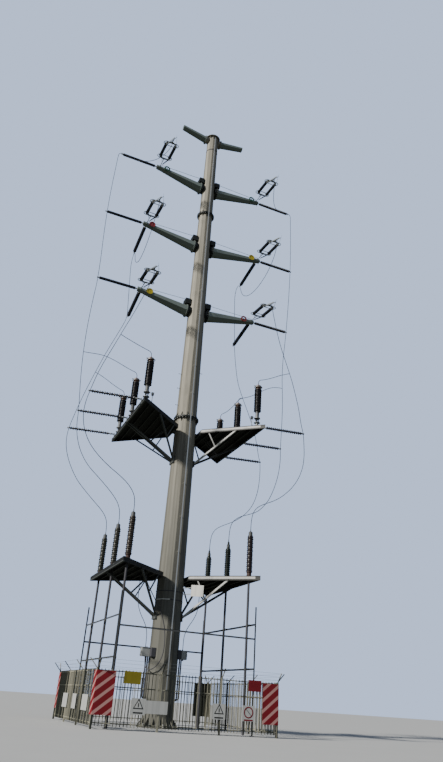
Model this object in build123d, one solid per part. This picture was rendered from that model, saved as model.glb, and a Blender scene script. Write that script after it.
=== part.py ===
from build123d import *
from math import cos, pi, radians, sin, tan
import os

# Cable terminal tower: a tapered steel pole with line arms, lead insulators,
# surge arrester platforms, cable termination platforms and a fence round its foot.
# Millimetres. Origin on the base plate's underside, at the pole's axis.
# X runs along the arms, -Y towards the overhead line, +Z up.

# Pole
POLE_SIDES = 12
POLE_HEIGHT = 35000
POLE_BASE_WIDTH = 1300
POLE_TOP_WIDTH = 690
POLE_WALL = 14
JOINT_PLATE = 40
JOINT_LIP = 130
JOINT_RIBS = 12
JOINT_RIB_HEIGHT = 260
JOINT_RIB_THICKNESS = 14
BASE_PLATE = 50
BASE_LIP = 230
GUSSET_HEIGHT = 320
GUSSET_THICKNESS = 16
GUSSET_REACH = 195
GUSSET_FOOT = 60
ANCHOR_COUNT = 16
ANCHOR_HOLE = 56
CAP_THICKNESS = 30
CAP_LIP = 135

# Arms
ARM_SIDES = 8
ARM_WALL = 8
GROUND_ARM_Z = POLE_HEIGHT + 120
GROUND_ARM_REACH = 2150
TOP_ARM_Z = POLE_HEIGHT - 4170
MIDDLE_ARM_Z = TOP_ARM_Z - 4770
BOTTOM_ARM_Z = MIDDLE_ARM_Z - 4680
TOP_ARM_REACH = 3550
MIDDLE_ARM_REACH = 3840
BOTTOM_ARM_REACH = 3600
ARM_ROOT_DEPTH = 620
ARM_ROOT_DROP = 520
ARM_TIP_DEPTH = 270
GROUND_ROOT_DEPTH = 440
GROUND_ROOT_DROP = 350
GROUND_TIP_DEPTH = 340
ARM_SEAT_LENGTH = 180
ARM_FLANGE = 30
ARM_FLANGE_LIP = 70
SEAT_BOX_HEIGHT = 350
SEAT_BOX_GAP = 5
SEAT_BOX_WIDTH = 480
SEAT_BOX_LENGTH = 330
SEAT_PLATE = 12
TIP_PLATE = 25
TIP_LUG_INSET = 180
TIP_LUG_WIDTH = 330
TIP_LUG_HEIGHT = 170
TIP_LUG = 40

# Flanged joints of the pole
UPPER_DECK_Z = 13490
JOINT_LOW_Z = UPPER_DECK_Z + 660
JOINT_HIGH_Z = TOP_ARM_Z - 2680

# Line insulators at the arm tips
STRING_SPACING = 560
STRING_LINK = 850
STRING_UNIT = 1420
STRING_TAIL = 380
STRING_FALL = 8.0
STRING_START = 25
LINK_DIAMETER = 50
TAIL_DIAMETER = 60
YOKE_PLATE = 16
YOKE_DEPTH = 150
STRING_SHED = 150
POST_LENGTH = 2300
POST_SHED = 150
BACK_POST_SHED = 180
BACK_POST_FALL = 10.0
FITTING_DIAMETER = 90
FITTING_LENGTH = 130

# Platforms
LOWER_DECK_Z = 6190
DECK_OUTER_X = 3130
DECK_OUTER_Y = 3050
DECK_INNER_X = 640
DECK_INNER_Y = 760
DECK_THICKNESS = 35
BEAM_DEPTH = 160
BEAM_WIDTH = 80
JOIST_DEPTH = 100
JOIST_WIDTH = 50
JOIST_COUNT = 5
UPPER_BRACE_DROP = 1720
LOWER_BRACE_DROP = 1800
BRACE_WIDTH = 75
TWIN_GAP = 220
BRACE_SPREAD = 2050
BRACE_FOOT_Y = 180
LACING_WIDTH = 50
LACING_ON_BRACE = 0.5
LACING_ON_BEAM = 0.18
FOOT_PLATE = 40
FOOT_PLATE_WIDTH = 520
FOOT_PLATE_HEIGHT = 300
NECK_PLATE = 20
NECK_SPACING = 240
NECK_DEPTH = 0.2

# Equipment on the platforms
ROW_SPACING = 2500
ARRESTER_X = 2930
ARRESTER_PEDESTAL = 230
ARRESTER_FOOT = 280
ARRESTER_BASE = 340
ARRESTER_BODY = 1290
ARRESTER_TOP = 310
ARRESTER_DIAMETER = 320
ARRESTER_PLATE = 40
CAP_NECK = 90
CAP_HEIGHT = 110
CAP_DIAMETER = 220
STUD_DIAMETER = 60
FIELD_RING_DIAMETER = 400
FIELD_RING_WIDTH = 36
TERMINATION_X = 2820
TERMINATION_BASE = 210
TERMINATION_BODY = 1600
TERMINATION_TOP = 300
TERMINATION_DIAMETER = 310
TERMINATION_BASE_SHARE = 0.9
TERMINATION_CAP_SHARE = 0.7
DECK_POST_BRACKET = 200
DECK_POST_LENGTH = 2310
DECK_POST_SEAT = 120
DECK_POST_PLATE = 20
DECK_POST_LIFT = 180
DECK_POST_TILT = 4.0
CABLE_DIAMETER = 105
CABLE_HOLE = 165

# Cable frames
FRAME_POST = 90
FRAME_X = 2980
FRAME_Y = 2980
FRAME_RAIL = 70
FRONT_TIE_Z = 3570
REAR_TIE_Z = 3250
HIGH_RAIL_Z = {"left": 3950, "right": 4150}
LOW_RAIL_Z = 2420
CLEAT_WIDTH = 140

# Link boxes with their cables, and climbing rail
LINK_BOX_Z = 2870
LINK_BOX = 420
LINK_BOX_WIDTH = 340
LINK_CABLE_X = 870
EARTH_CABLE_DIAMETER = 40
RAIL_LOW_Z = 1400
RAIL_HIGH_Z = POLE_HEIGHT - 250
RAIL_FLANGE_GAP = 6
RAIL_WIDTH = 50
RAIL_DEPTH = 30
RAIL_STANDOFF = JOINT_LIP + RAIL_FLANGE_GAP + RAIL_DEPTH / 2
RAIL_BRACKETS = 20

# Fence
FENCE_X = 3700
FENCE_Y = 3750
FENCE_HEIGHT = 1960
FENCE_BAYS = 3
FENCE_POST = 60
PICKET = 22
PICKET_PITCH = 130
PICKET_DROP = 100
FENCE_ARM = 30
FENCE_RAIL = 35
FENCE_RAIL_HEIGHTS = (200, 1380, 1900)
ARM_RISE = 330
CORNER_WIDTH = 720
CORNER_RETURN = 420
CORNER_BOTTOM = 450
CORNER_TOP = 1900
CORNER_SHEET = 6

# Leads
LEAD_DIAMETER = 30
TAP_RUN = 200

CLEARANCE = 0.2

SIDES = {"left": -1, "right": 1}
ARM_LEVELS = {
    "top": (TOP_ARM_Z, TOP_ARM_REACH),
    "middle": (MIDDLE_ARM_Z, MIDDLE_ARM_REACH),
    "bottom": (BOTTOM_ARM_Z, BOTTOM_ARM_REACH),
}
ROWS = (-ROW_SPACING, 0, ROW_SPACING)

os.makedirs("parts", exist_ok=True)


def save(name, *solids):
    shape = solids[0] if len(solids) == 1 else Compound(children=list(solids))
    export_step(shape, f"parts/{name}.step")


def pole_width(z):
    return POLE_BASE_WIDTH + (POLE_TOP_WIDTH - POLE_BASE_WIDTH) * z / POLE_HEIGHT


def flats(width, sides):
    # A regular polygon by its width across flats, with flats square to both axes.
    return RegularPolygon(width / 2, sides, major_radius=False, rotation=180 / sides)


def prism(z_low, z_high, inset=0):
    # A stretch of the tapered pole, inset all round by a wall.
    ends = []
    for z in (z_low, z_high):
        ends.append(Plane.XY.offset(z) * flats(pole_width(z) - 2 * inset, POLE_SIDES))
    return loft(ends)


def collar(z_low, z_high, lip):
    radius = pole_width((z_low + z_high) / 2) / 2 + lip
    return extrude(Plane.XY.offset(z_low) * Circle(radius), z_high - z_low)


def bar(start, end, width, depth):
    start, end = Vector(start), Vector(end)
    run = end - start
    side = Vector(0, 0, 1).cross(run)
    if side.length < 1e-6:
        side = Vector(0, 1, 0)
    place = Plane(origin=(start + end) * 0.5, x_dir=run, z_dir=run.cross(side))
    return place * Box(run.length, width, depth)


def rod(start, end, diameter):
    start, end = Vector(start), Vector(end)
    run = end - start
    return extrude(Plane(origin=start, z_dir=run) * Circle(diameter / 2), run.length)


def tapered_tube(root, tip, root_width, tip_width, wall):
    # A straight arm of few flats, hollow, between two upright faces across X.
    outer, inner = [], []
    for (x, y, z), width in ((root, root_width), (tip, tip_width)):
        face = Plane(origin=(x, y, z), x_dir=(0, 1, 0), z_dir=(1, 0, 0))
        outer.append(face * flats(width, ARM_SIDES))
        inner.append(face * flats(width - 2 * wall, ARM_SIDES))
    return loft(outer) - loft(inner)


# Pole
def arm_seat(side, z, root_depth, root_drop, boxed):
    # Stub tube and flange that an arm bolts to, with the box bracket above them.
    wall_x = pole_width(z) / 2 - POLE_WALL
    seat_x = pole_width(z) / 2 + ARM_SEAT_LENGTH
    centre = z - root_drop
    flange = root_depth / 2 + ARM_FLANGE_LIP
    stub = tapered_tube(
        (side * wall_x, 0, centre), (side * seat_x, 0, centre), root_depth, root_depth, ARM_WALL
    )
    face = Plane(origin=(side * seat_x, 0, centre), z_dir=(-side, 0, 0))
    parts = [stub, extrude(face * Circle(flange), ARM_FLANGE)]
    if boxed:
        low = centre + flange + SEAT_BOX_GAP
        middle_x = side * (wall_x + SEAT_BOX_LENGTH / 2)
        outer = Box(SEAT_BOX_LENGTH, SEAT_BOX_WIDTH, SEAT_BOX_HEIGHT)
        inner = Box(
            SEAT_BOX_LENGTH - 2 * SEAT_PLATE, SEAT_BOX_WIDTH - 2 * SEAT_PLATE, SEAT_BOX_HEIGHT
        )
        box = outer - Pos(0, 0, -SEAT_PLATE) * inner
        parts.append(Pos(middle_x, 0, low + SEAT_BOX_HEIGHT / 2) * box)
    return parts


def pole_section(z_low, z_high, extras):
    shell = prism(z_low, z_high) + extras
    return shell - prism(z_low, z_high, POLE_WALL)


def base_plate():
    radius = POLE_BASE_WIDTH / 2 + BASE_LIP
    plate = extrude(Circle(radius), BASE_PLATE)
    pitch = POLE_BASE_WIDTH / 2 + BASE_LIP / 2
    hole = extrude(Circle(ANCHOR_HOLE / 2), BASE_PLATE)
    plate -= PolarLocations(pitch, ANCHOR_COUNT) * hole
    return plate


def base_gusset():
    inner = POLE_BASE_WIDTH / 2 - POLE_WALL / 2
    outer = POLE_BASE_WIDTH / 2 + GUSSET_REACH
    outline = Plane.XZ * Polygon(
        (inner, 0), (outer, 0), (outer, GUSSET_FOOT), (inner + POLE_WALL, GUSSET_HEIGHT),
        (inner, GUSSET_HEIGHT), align=None,
    )
    return Pos(0, 0, BASE_PLATE) * extrude(outline, GUSSET_THICKNESS / 2, both=True)


def joint_ribs(z, way):
    # Ribs between a joint's plate and the pole, above it or below it.
    inner = pole_width(z) / 2 - POLE_WALL
    outer = pole_width(z) / 2 + JOINT_LIP - JOINT_RIB_THICKNESS
    tip = way * JOINT_RIB_HEIGHT
    outline = Plane.XZ * Polygon(
        (inner, 0), (outer, 0), (inner + 2 * POLE_WALL, tip), (inner, tip), align=None
    )
    rib = Pos(0, 0, z) * extrude(outline, JOINT_RIB_THICKNESS / 2, both=True)
    step = 360 / JOINT_RIBS
    return [Rot(0, 0, (i + 0.5) * step) * rib for i in range(JOINT_RIBS)]


def lower_section():
    gusset = base_gusset()
    step = 360 / ANCHOR_COUNT
    extras = [Rot(0, 0, (i + 0.5) * step) * gusset for i in range(ANCHOR_COUNT)]
    extras.append(collar(JOINT_LOW_Z - JOINT_PLATE, JOINT_LOW_Z, JOINT_LIP))
    extras += joint_ribs(JOINT_LOW_Z - JOINT_PLATE, -1)
    return pole_section(BASE_PLATE, JOINT_LOW_Z, extras) + base_plate()


def middle_section():
    extras = [
        collar(JOINT_LOW_Z, JOINT_LOW_Z + JOINT_PLATE, JOINT_LIP),
        collar(JOINT_HIGH_Z - JOINT_PLATE, JOINT_HIGH_Z, JOINT_LIP),
    ]
    extras += joint_ribs(JOINT_LOW_Z + JOINT_PLATE, 1) + joint_ribs(JOINT_HIGH_Z - JOINT_PLATE, -1)
    for side in SIDES.values():
        for z in (MIDDLE_ARM_Z, BOTTOM_ARM_Z):
            extras += arm_seat(side, z, ARM_ROOT_DEPTH, ARM_ROOT_DROP, True)
    return pole_section(JOINT_LOW_Z, JOINT_HIGH_Z, extras)


def upper_section():
    extras = [collar(JOINT_HIGH_Z, JOINT_HIGH_Z + JOINT_PLATE, JOINT_LIP)]
    extras += joint_ribs(JOINT_HIGH_Z + JOINT_PLATE, 1) + joint_ribs(POLE_HEIGHT, -1)
    for side in SIDES.values():
        extras += arm_seat(side, TOP_ARM_Z, ARM_ROOT_DEPTH, ARM_ROOT_DROP, True)
        extras += arm_seat(side, GROUND_ARM_Z, GROUND_ROOT_DEPTH, GROUND_ROOT_DROP, False)
    return pole_section(JOINT_HIGH_Z, POLE_HEIGHT, extras)


# Arms
def arm(side, z, reach, root_depth, root_drop, tip_depth):
    root_x = pole_width(z) / 2 + ARM_SEAT_LENGTH
    flange = Plane(origin=(side * root_x, 0, z - root_drop), z_dir=(side, 0, 0))
    flange_radius = root_depth / 2 + ARM_FLANGE_LIP
    tube = tapered_tube(
        (side * root_x, 0, z - root_drop), (side * (reach - TIP_PLATE), 0, z), root_depth, tip_depth,
        ARM_WALL,
    )
    ring = extrude(flange * Circle(flange_radius), ARM_FLANGE)
    ring -= extrude(flange * Circle(root_depth / 2 - ARM_FLANGE_LIP), ARM_FLANGE)
    tip = Plane(origin=(side * (reach - TIP_PLATE), 0, z), z_dir=(side, 0, 0))
    end = extrude(tip * flats(tip_depth, ARM_SIDES), TIP_PLATE)
    return tube + [ring, end]


def line_arm(side, z, reach):
    # The lug across the tip takes the strain string on one side and the back post on the other.
    body = arm(side, z, reach, ARM_ROOT_DEPTH, ARM_ROOT_DROP, ARM_TIP_DEPTH)
    lug = Pos(side * (reach - TIP_LUG_INSET), 0, z) * Box(TIP_LUG, TIP_LUG_WIDTH, TIP_LUG_HEIGHT)
    return body + lug


# Insulators
def insulator(length, shed):
    # One post or long rod, standing on the origin, fitting to fitting.
    body = Pos(0, 0, FITTING_LENGTH) * extrude(Circle(shed / 2), length - 2 * FITTING_LENGTH)
    low = extrude(Circle(FITTING_DIAMETER / 2), FITTING_LENGTH)
    high = Pos(0, 0, length - FITTING_LENGTH) * low
    return low + [body, high]


def strain_string(side, z, reach):
    # Link, yoke, two long rods side by side, yoke and dead end, in one assembly.
    slope = radians(STRING_FALL)
    x = side * (reach - TIP_LUG_INSET)
    start = Vector(x, -TIP_LUG_WIDTH / 2 - STRING_START * sin(slope) - CLEARANCE, z)
    run = Vector(0, -cos(slope), -sin(slope))
    yoke_one = start + run * (STRING_LINK - YOKE_DEPTH)
    yoke_two = start + run * (STRING_LINK + STRING_UNIT)
    end = yoke_two + run * (YOKE_DEPTH + STRING_TAIL)
    pieces = [rod(yoke_two + run * YOKE_DEPTH, end, TAIL_DIAMETER)]
    for near in (yoke_one, yoke_two):
        far = near + run * YOKE_DEPTH
        pieces.append(bar(near, far, STRING_SPACING + FITTING_DIAMETER, YOKE_PLATE))
    for offset in (-STRING_SPACING / 2, STRING_SPACING / 2):
        foot = yoke_one + run * YOKE_DEPTH + Vector(offset, 0, 0)
        place = Plane(origin=foot, x_dir=(1, 0, 0), z_dir=run)
        pieces.append(place * insulator(STRING_UNIT, STRING_SHED))
    return rod(start, yoke_one, LINK_DIAMETER) + pieces


def lead_posts(side, z, reach, back):
    tip = Plane(origin=(side * (reach + CLEARANCE), 0, z), z_dir=(side, 0, 0))
    posts = [tip * insulator(POST_LENGTH, POST_SHED)]
    if back:
        fall = radians(BACK_POST_FALL)
        run = Vector(0, cos(fall), -sin(fall))
        lean = FITTING_DIAMETER / 2 * sin(fall)
        foot = Vector(side * (reach - TIP_LUG_INSET), TIP_LUG_WIDTH / 2 + lean + CLEARANCE, z)
        posts.append(Plane(origin=foot, z_dir=run) * insulator(POST_LENGTH, BACK_POST_SHED))
    return posts


# Platforms
def deck_outline(side, z, shrink=0):
    return Plane.XY.offset(z) * Polygon(
        (side * DECK_INNER_X, -DECK_INNER_Y),
        (side * (DECK_OUTER_X - shrink), -DECK_OUTER_Y + shrink),
        (side * (DECK_OUTER_X - shrink), DECK_OUTER_Y - shrink),
        (side * DECK_INNER_X, DECK_INNER_Y),
        align=None,
    )


def deck(side, z, cable_holes):
    plate = extrude(deck_outline(side, z - DECK_THICKNESS), DECK_THICKNESS, dir=(0, 0, 1))
    if cable_holes:
        for y in ROWS:
            low = Plane(origin=(side * TERMINATION_X, y, z - DECK_THICKNESS))
            plate -= extrude(low * Circle(CABLE_HOLE / 2), DECK_THICKNESS)
    return plate


def deck_frame(side, z, drop):
    # Beams and joists under a deck, neck plates to the pole and braces down to a foot plate.
    top = z - DECK_THICKNESS
    low = top - BEAM_DEPTH
    zone = extrude(deck_outline(side, low), BEAM_DEPTH, dir=(0, 0, 1))
    beam_z = top - BEAM_DEPTH / 2
    joist_z = top - JOIST_DEPTH / 2
    outer_x = side * (DECK_OUTER_X - BEAM_WIDTH / 2)
    inner_x = side * (DECK_INNER_X + BEAM_WIDTH / 2)
    grid = []
    for end in (-1, 1):
        inner = (inner_x, end * DECK_INNER_Y, beam_z)
        outer = (outer_x, end * DECK_OUTER_Y, beam_z)
        grid.append(bar(inner, outer, BEAM_WIDTH, BEAM_DEPTH))
    near, far = -DECK_OUTER_Y, DECK_OUTER_Y
    grid.append(bar((inner_x, near, beam_z), (inner_x, far, beam_z), BEAM_WIDTH, BEAM_DEPTH))
    for i in range(JOIST_COUNT):
        share = (i + 1) / (JOIST_COUNT + 1)
        x = side * (DECK_INNER_X + share * (DECK_OUTER_X - DECK_INNER_X))
        grid.append(bar((x, near, joist_z), (x, far, joist_z), JOIST_WIDTH, JOIST_DEPTH))
    edge = bar((outer_x, near, beam_z), (outer_x, far, beam_z), BEAM_WIDTH, BEAM_DEPTH)
    frame = (edge + grid) & zone
    neck_x = side * (DECK_INNER_X + BEAM_WIDTH / 2)
    foot_z = z - drop
    foot_x = side * pole_width(foot_z) / 2
    struts = [Pos(foot_x, 0, foot_z) * Box(2 * FOOT_PLATE, FOOT_PLATE_WIDTH, FOOT_PLATE_HEIGHT)]
    for y in (-NECK_SPACING / 2, NECK_SPACING / 2):
        struts.append(
            bar((foot_x * (1 - NECK_DEPTH), y, beam_z), (neck_x, y, beam_z), NECK_PLATE, BEAM_DEPTH)
        )
    head_z = low + BRACE_WIDTH / 2
    for end in (-1, 1):
        foot = Vector(foot_x, end * BRACE_FOOT_Y, foot_z)
        head = Vector(side * BRACE_SPREAD, end * BRACE_SPREAD, head_z)
        struts += brace(foot, head, Vector(inner_x, end * DECK_INNER_Y, head_z))
        foot = Vector(foot_x, end * TWIN_GAP / 2, foot_z)
        head = Vector(outer_x, end * TWIN_GAP / 2, head_z)
        struts += brace(foot, head, Vector(inner_x, end * TWIN_GAP / 2, head_z))
    return frame + struts - prism(foot_z - FOOT_PLATE_HEIGHT, z, -CLEARANCE)


def brace(foot, head, corner):
    # A brace, and the lacing from its middle up to the frame near the pole.
    low = foot + (head - foot) * LACING_ON_BRACE
    high = corner + (head - corner) * LACING_ON_BEAM
    return [bar(foot, head, BRACE_WIDTH, BRACE_WIDTH), bar(low, high, LACING_WIDTH, LACING_WIDTH)]


# Equipment
def stacked(*stages):
    # Round stages one on another, each given by its diameter and its height.
    pieces = []
    z = 0
    for diameter, height in stages:
        pieces.append(Pos(0, 0, z) * extrude(Circle(diameter / 2), height))
        z += height
    return pieces[0] + pieces[1:]


def termination():
    return stacked(
        (TERMINATION_DIAMETER * TERMINATION_BASE_SHARE, TERMINATION_BASE),
        (TERMINATION_DIAMETER, TERMINATION_BODY),
        (TERMINATION_DIAMETER * TERMINATION_CAP_SHARE, TERMINATION_TOP),
    )


def arrester():
    # Pedestal, insulating foot between two plates, metal base, housing and cap with a field ring.
    foot = ARRESTER_FOOT - 2 * ARRESTER_PLATE
    stages = stacked(
        (CAP_DIAMETER, ARRESTER_PEDESTAL), (ARRESTER_DIAMETER, ARRESTER_PLATE), (CAP_DIAMETER, foot),
        (ARRESTER_DIAMETER, ARRESTER_PLATE), (CAP_DIAMETER, ARRESTER_BASE),
        (ARRESTER_DIAMETER, ARRESTER_BODY), (2 * STUD_DIAMETER, CAP_NECK), (CAP_DIAMETER, CAP_HEIGHT),
        (STUD_DIAMETER, ARRESTER_TOP - CAP_NECK - CAP_HEIGHT),
    )
    ring = Circle(FIELD_RING_DIAMETER / 2) - Circle(FIELD_RING_DIAMETER / 2 - FIELD_RING_WIDTH / 2)
    level = ARRESTER_PEDESTAL + ARRESTER_FOOT + ARRESTER_BASE + ARRESTER_BODY + CAP_NECK
    ring = Pos(0, 0, level) * extrude(ring, FIELD_RING_WIDTH)
    arm_z = level + FIELD_RING_WIDTH / 2
    reach = FIELD_RING_DIAMETER / 2 - FIELD_RING_WIDTH / 4
    arm = bar((-reach, 0, arm_z), (reach, 0, arm_z), FIELD_RING_WIDTH, FIELD_RING_WIDTH / 2)
    return stages + [arm, ring]


def deck_posts(side):
    # A plate up the outer beam holds each post. The right ones rise outwards, the left ones droop.
    x = DECK_OUTER_X + CLEARANCE + DECK_POST_PLATE / 2
    z = UPPER_DECK_Z - DECK_THICKNESS - BEAM_DEPTH / 2
    way = Vector(side, 0, 0).rotate(Axis.Y, -DECK_POST_TILT)
    posts = []
    for y in ROWS:
        plate = Box(DECK_POST_PLATE, DECK_POST_SEAT, DECK_POST_LIFT + DECK_POST_SEAT)
        plate = Pos(side * x, y, z + DECK_POST_LIFT / 2) * plate
        axis = Plane(origin=(side * x, y, z + DECK_POST_LIFT), z_dir=way)
        bracket = extrude(Rectangle(DECK_POST_SEAT / 2, DECK_POST_SEAT / 2), DECK_POST_BRACKET)
        post = Pos(0, 0, DECK_POST_BRACKET) * insulator(DECK_POST_LENGTH, POST_SHED)
        posts.append(plate + axis * (bracket + post))
    return posts


# Cable frames
def cable_frame(side, high_rail_z):
    # Two posts under the deck's ends, two rails between them and a cleat for each cable.
    x = side * FRAME_X
    under = LOWER_DECK_Z - DECK_THICKNESS - BEAM_DEPTH - CLEARANCE
    pieces = [bar((x, FRAME_Y, 0), (x, FRAME_Y, under), FRAME_POST, FRAME_POST)]
    cleat_length = FRAME_X - TERMINATION_X
    cleat_x = side * (TERMINATION_X + cleat_length / 2)
    for z in (LOW_RAIL_Z, high_rail_z):
        pieces.append(bar((x, -FRAME_Y, z), (x, FRAME_Y, z), FRAME_RAIL, FRAME_RAIL))
        for y in ROWS:
            pieces.append(Pos(cleat_x, y, z) * Box(cleat_length, CLEAT_WIDTH, FRAME_RAIL))
    frame = bar((x, -FRAME_Y, 0), (x, -FRAME_Y, under), FRAME_POST, FRAME_POST) + pieces
    cables = [extrude(cable_circle(side, y, CLEARANCE), under) for y in ROWS]
    return frame - cables


def cable_circle(side, y, gap=0):
    return Pos(side * TERMINATION_X, y, 0) * Circle(CABLE_DIAMETER / 2 + gap)


def frame_tie(end, z):
    x = FRAME_X - FRAME_POST / 2 - CLEARANCE
    y = end * FRAME_Y
    return bar((-x, y, z), (x, y, z), FRAME_RAIL, FRAME_RAIL)


# Link boxes and climbing rail
def link_box(side):
    # Reaches into the pole and is cut back to its tapered face.
    reach = pole_width(LINK_BOX_Z) / 2 + LINK_BOX
    box = Pos(side * reach / 2, 0, LINK_BOX_Z) * Box(reach, LINK_BOX_WIDTH, LINK_BOX)
    return box - prism(LINK_BOX_Z - LINK_BOX, LINK_BOX_Z + LINK_BOX, -CLEARANCE)


def climbing_rail():
    low_y = -pole_width(RAIL_LOW_Z) / 2 - RAIL_STANDOFF
    high_y = -pole_width(RAIL_HIGH_Z) / 2 - RAIL_STANDOFF
    low, high = Vector(0, low_y, RAIL_LOW_Z), Vector(0, high_y, RAIL_HIGH_Z)
    brackets = []
    for i in range(RAIL_BRACKETS):
        place = low + (high - low) * ((i + 0.5) / RAIL_BRACKETS)
        face_y = -pole_width(place.Z - RAIL_WIDTH / 2) / 2 - CLEARANCE
        brackets.append(bar(place, (0, face_y, place.Z), RAIL_WIDTH / 2, RAIL_WIDTH))
    return bar(low, high, RAIL_WIDTH, RAIL_DEPTH) + brackets


# Fence
def fence_run(length):
    # One side, along X, centred, with posts at the bays and pickets between.
    pieces = []
    for z in FENCE_RAIL_HEIGHTS[1:]:
        pieces.append(Pos(0, 0, z) * Box(length, FENCE_RAIL, FENCE_RAIL))
    for i in range(FENCE_BAYS + 1):
        x = -length / 2 + i * length / FENCE_BAYS
        pieces.append(Pos(x, 0, FENCE_HEIGHT / 2) * Box(FENCE_POST, FENCE_POST, FENCE_HEIGHT))
        arm_top = Vector(x, -ARM_RISE, FENCE_HEIGHT + ARM_RISE)
        pieces.append(bar((x, 0, FENCE_HEIGHT - FENCE_ARM), arm_top, FENCE_ARM, FENCE_ARM))
    count = int(length / PICKET_PITCH)
    picket_low = FENCE_RAIL_HEIGHTS[0] - PICKET_DROP
    picket = Box(PICKET, PICKET, FENCE_HEIGHT - picket_low)
    for i in range(1, count):
        x = -length / 2 + i * length / count
        pieces.append(Pos(x, 0, (picket_low + FENCE_HEIGHT) / 2) * picket)
    return Pos(0, 0, FENCE_RAIL_HEIGHTS[0]) * Box(length, FENCE_RAIL, FENCE_RAIL) + pieces


def corner_sheet(x_side, y_side):
    x = x_side * (FENCE_X + FENCE_POST / 2 + CLEARANCE)
    y = y_side * (FENCE_Y + FENCE_POST / 2 + CLEARANCE)
    middle = (CORNER_BOTTOM + CORNER_TOP) / 2
    height = CORNER_TOP - CORNER_BOTTOM
    front = Box(CORNER_WIDTH, CORNER_SHEET, height)
    turn = Box(CORNER_SHEET, CORNER_RETURN, height)
    half = CORNER_SHEET / 2
    front = Pos(x - x_side * (CORNER_WIDTH / 2 - CORNER_SHEET), y + y_side * half, middle) * front
    turn = Pos(x + x_side * half, y - y_side * (CORNER_RETURN / 2 - CORNER_SHEET), middle) * turn
    return front + turn


# Leads
def places(side, route):
    # Each point of a route is the outward, Y and Z offset from a named place on the tower.
    points = []
    for anchor, out, y, z in route:
        x0, y0, z0 = ANCHORS[anchor]
        if anchor.endswith("post"):
            z0 += side * POST_END_RISE
        points.append(Vector(side * (x0 + out), y0 + y, z0 + z))
    return points


def tap(trunk, run, share, route):
    # Starts a branch square to one straight run of a longer lead, touching its side.
    start, end = trunk[run], trunk[run + 1]
    here = start + (end - start) * share
    along = (end - start).normalized()
    out = route[0] - here
    out = (out - along * out.dot(along)).normalized()
    first = here + out * (LEAD_DIAMETER / 2 + CLEARANCE)
    return [first, first + out * TAP_RUN] + route


def lead(name, points, diameter=LEAD_DIAMETER):
    # Straight runs joined by the largest arcs that the runs allow.
    radii = []
    for a, b, c in zip(points, points[1:], points[2:]):
        turn = (b - a).get_angle(c - b)
        radii.append(0.45 * min((b - a).length, (c - b).length) / tan(radians(turn) / 2))
    path = FilletPolyline(*points, radius=radii)
    start = Plane(origin=points[0], z_dir=points[1] - points[0])
    tube = sweep(start * Circle(diameter / 2), path=path)
    share = tube.volume / (pi * diameter**2 / 4 * path.length)
    print(name, round(path.length), "mm, least radius", round(min(radii)), "volume", round(share, 4))
    return tube


# Places that the leads' routes are measured from
ANCHORS = {level: (reach, 0, z) for level, (z, reach) in ARM_LEVELS.items()}
POST_END = Vector(DECK_POST_BRACKET + DECK_POST_LENGTH - FITTING_LENGTH / 2, 0, 0)
POST_END = POST_END.rotate(Axis.Y, -DECK_POST_TILT)
POST_END_X = DECK_OUTER_X + CLEARANCE + DECK_POST_PLATE / 2 + POST_END.X
POST_END_Z = UPPER_DECK_Z - DECK_THICKNESS - BEAM_DEPTH / 2 + DECK_POST_LIFT
POST_END_RISE = POST_END.Z
TERMINATION_TOP_Z = LOWER_DECK_Z + TERMINATION_BASE + TERMINATION_BODY + TERMINATION_TOP
ARRESTER_LOW = ARRESTER_PEDESTAL + ARRESTER_FOOT + ARRESTER_BASE
ARRESTER_TOP_Z = UPPER_DECK_Z + ARRESTER_LOW + ARRESTER_BODY + ARRESTER_TOP
for row, row_y in zip(("near", "mid", "far"), ROWS):
    ANCHORS[f"{row} post"] = (POST_END_X, row_y, POST_END_Z)
    ANCHORS[f"{row} head"] = (TERMINATION_X, row_y, TERMINATION_TOP_Z)
    ANCHORS[f"{row} arrester"] = (ARRESTER_X, row_y, ARRESTER_TOP_Z)

CABLE_JOIST_X = DECK_INNER_X + 2 * (DECK_OUTER_X - DECK_INNER_X) / (JOIST_COUNT + 1)
ANCHORS["joist"] = (CABLE_JOIST_X, 0, LOWER_DECK_Z - DECK_THICKNESS - JOIST_DEPTH)
ANCHORS["box top"] = (LINK_CABLE_X, 0, LINK_BOX_Z + LINK_BOX / 2)
ANCHORS["box foot"] = (LINK_CABLE_X, 0, LINK_BOX_Z - LINK_BOX / 2)

# Cables from the lower platforms to the link boxes
BOX_CABLE = (
    ("joist", 0, 0, 0), ("joist", 0, 0, -350), ("joist", 5, 0, -700), ("joist", -5, 0, -1050),
    ("joist", -70, 0, -1370), ("box top", 390, 0, 1310), ("box top", 220, 0, 1070),
    ("box top", 80, 0, 820), ("box top", 10, 0, 560), ("box top", 0, 0, 280), ("box top", 0, 0, 0),
)
EARTH_CABLE = (
    ("joist", 0, -950, 0), ("joist", 0, -950, -220), ("joist", -80, -930, -440),
    ("joist", -240, -895, -670), ("joist", -410, -860, -900), ("joist", -590, -820, -1130),
    ("joist", -770, -785, -1370), ("joist", -930, -760, -1620), ("box foot", -450, -740, 1500),
    ("box foot", -550, -730, 1180), ("box foot", -605, -725, 840), ("box foot", -620, -725, 490),
    ("box foot", -590, -720, 150), ("box foot", -490, -690, -160), ("box foot", -320, -610, -400),
    ("box foot", -140, -460, -500), ("box foot", -30, -270, -440), ("box foot", 0, -100, -250),
    ("box foot", 0, -100, 0),
)

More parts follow.
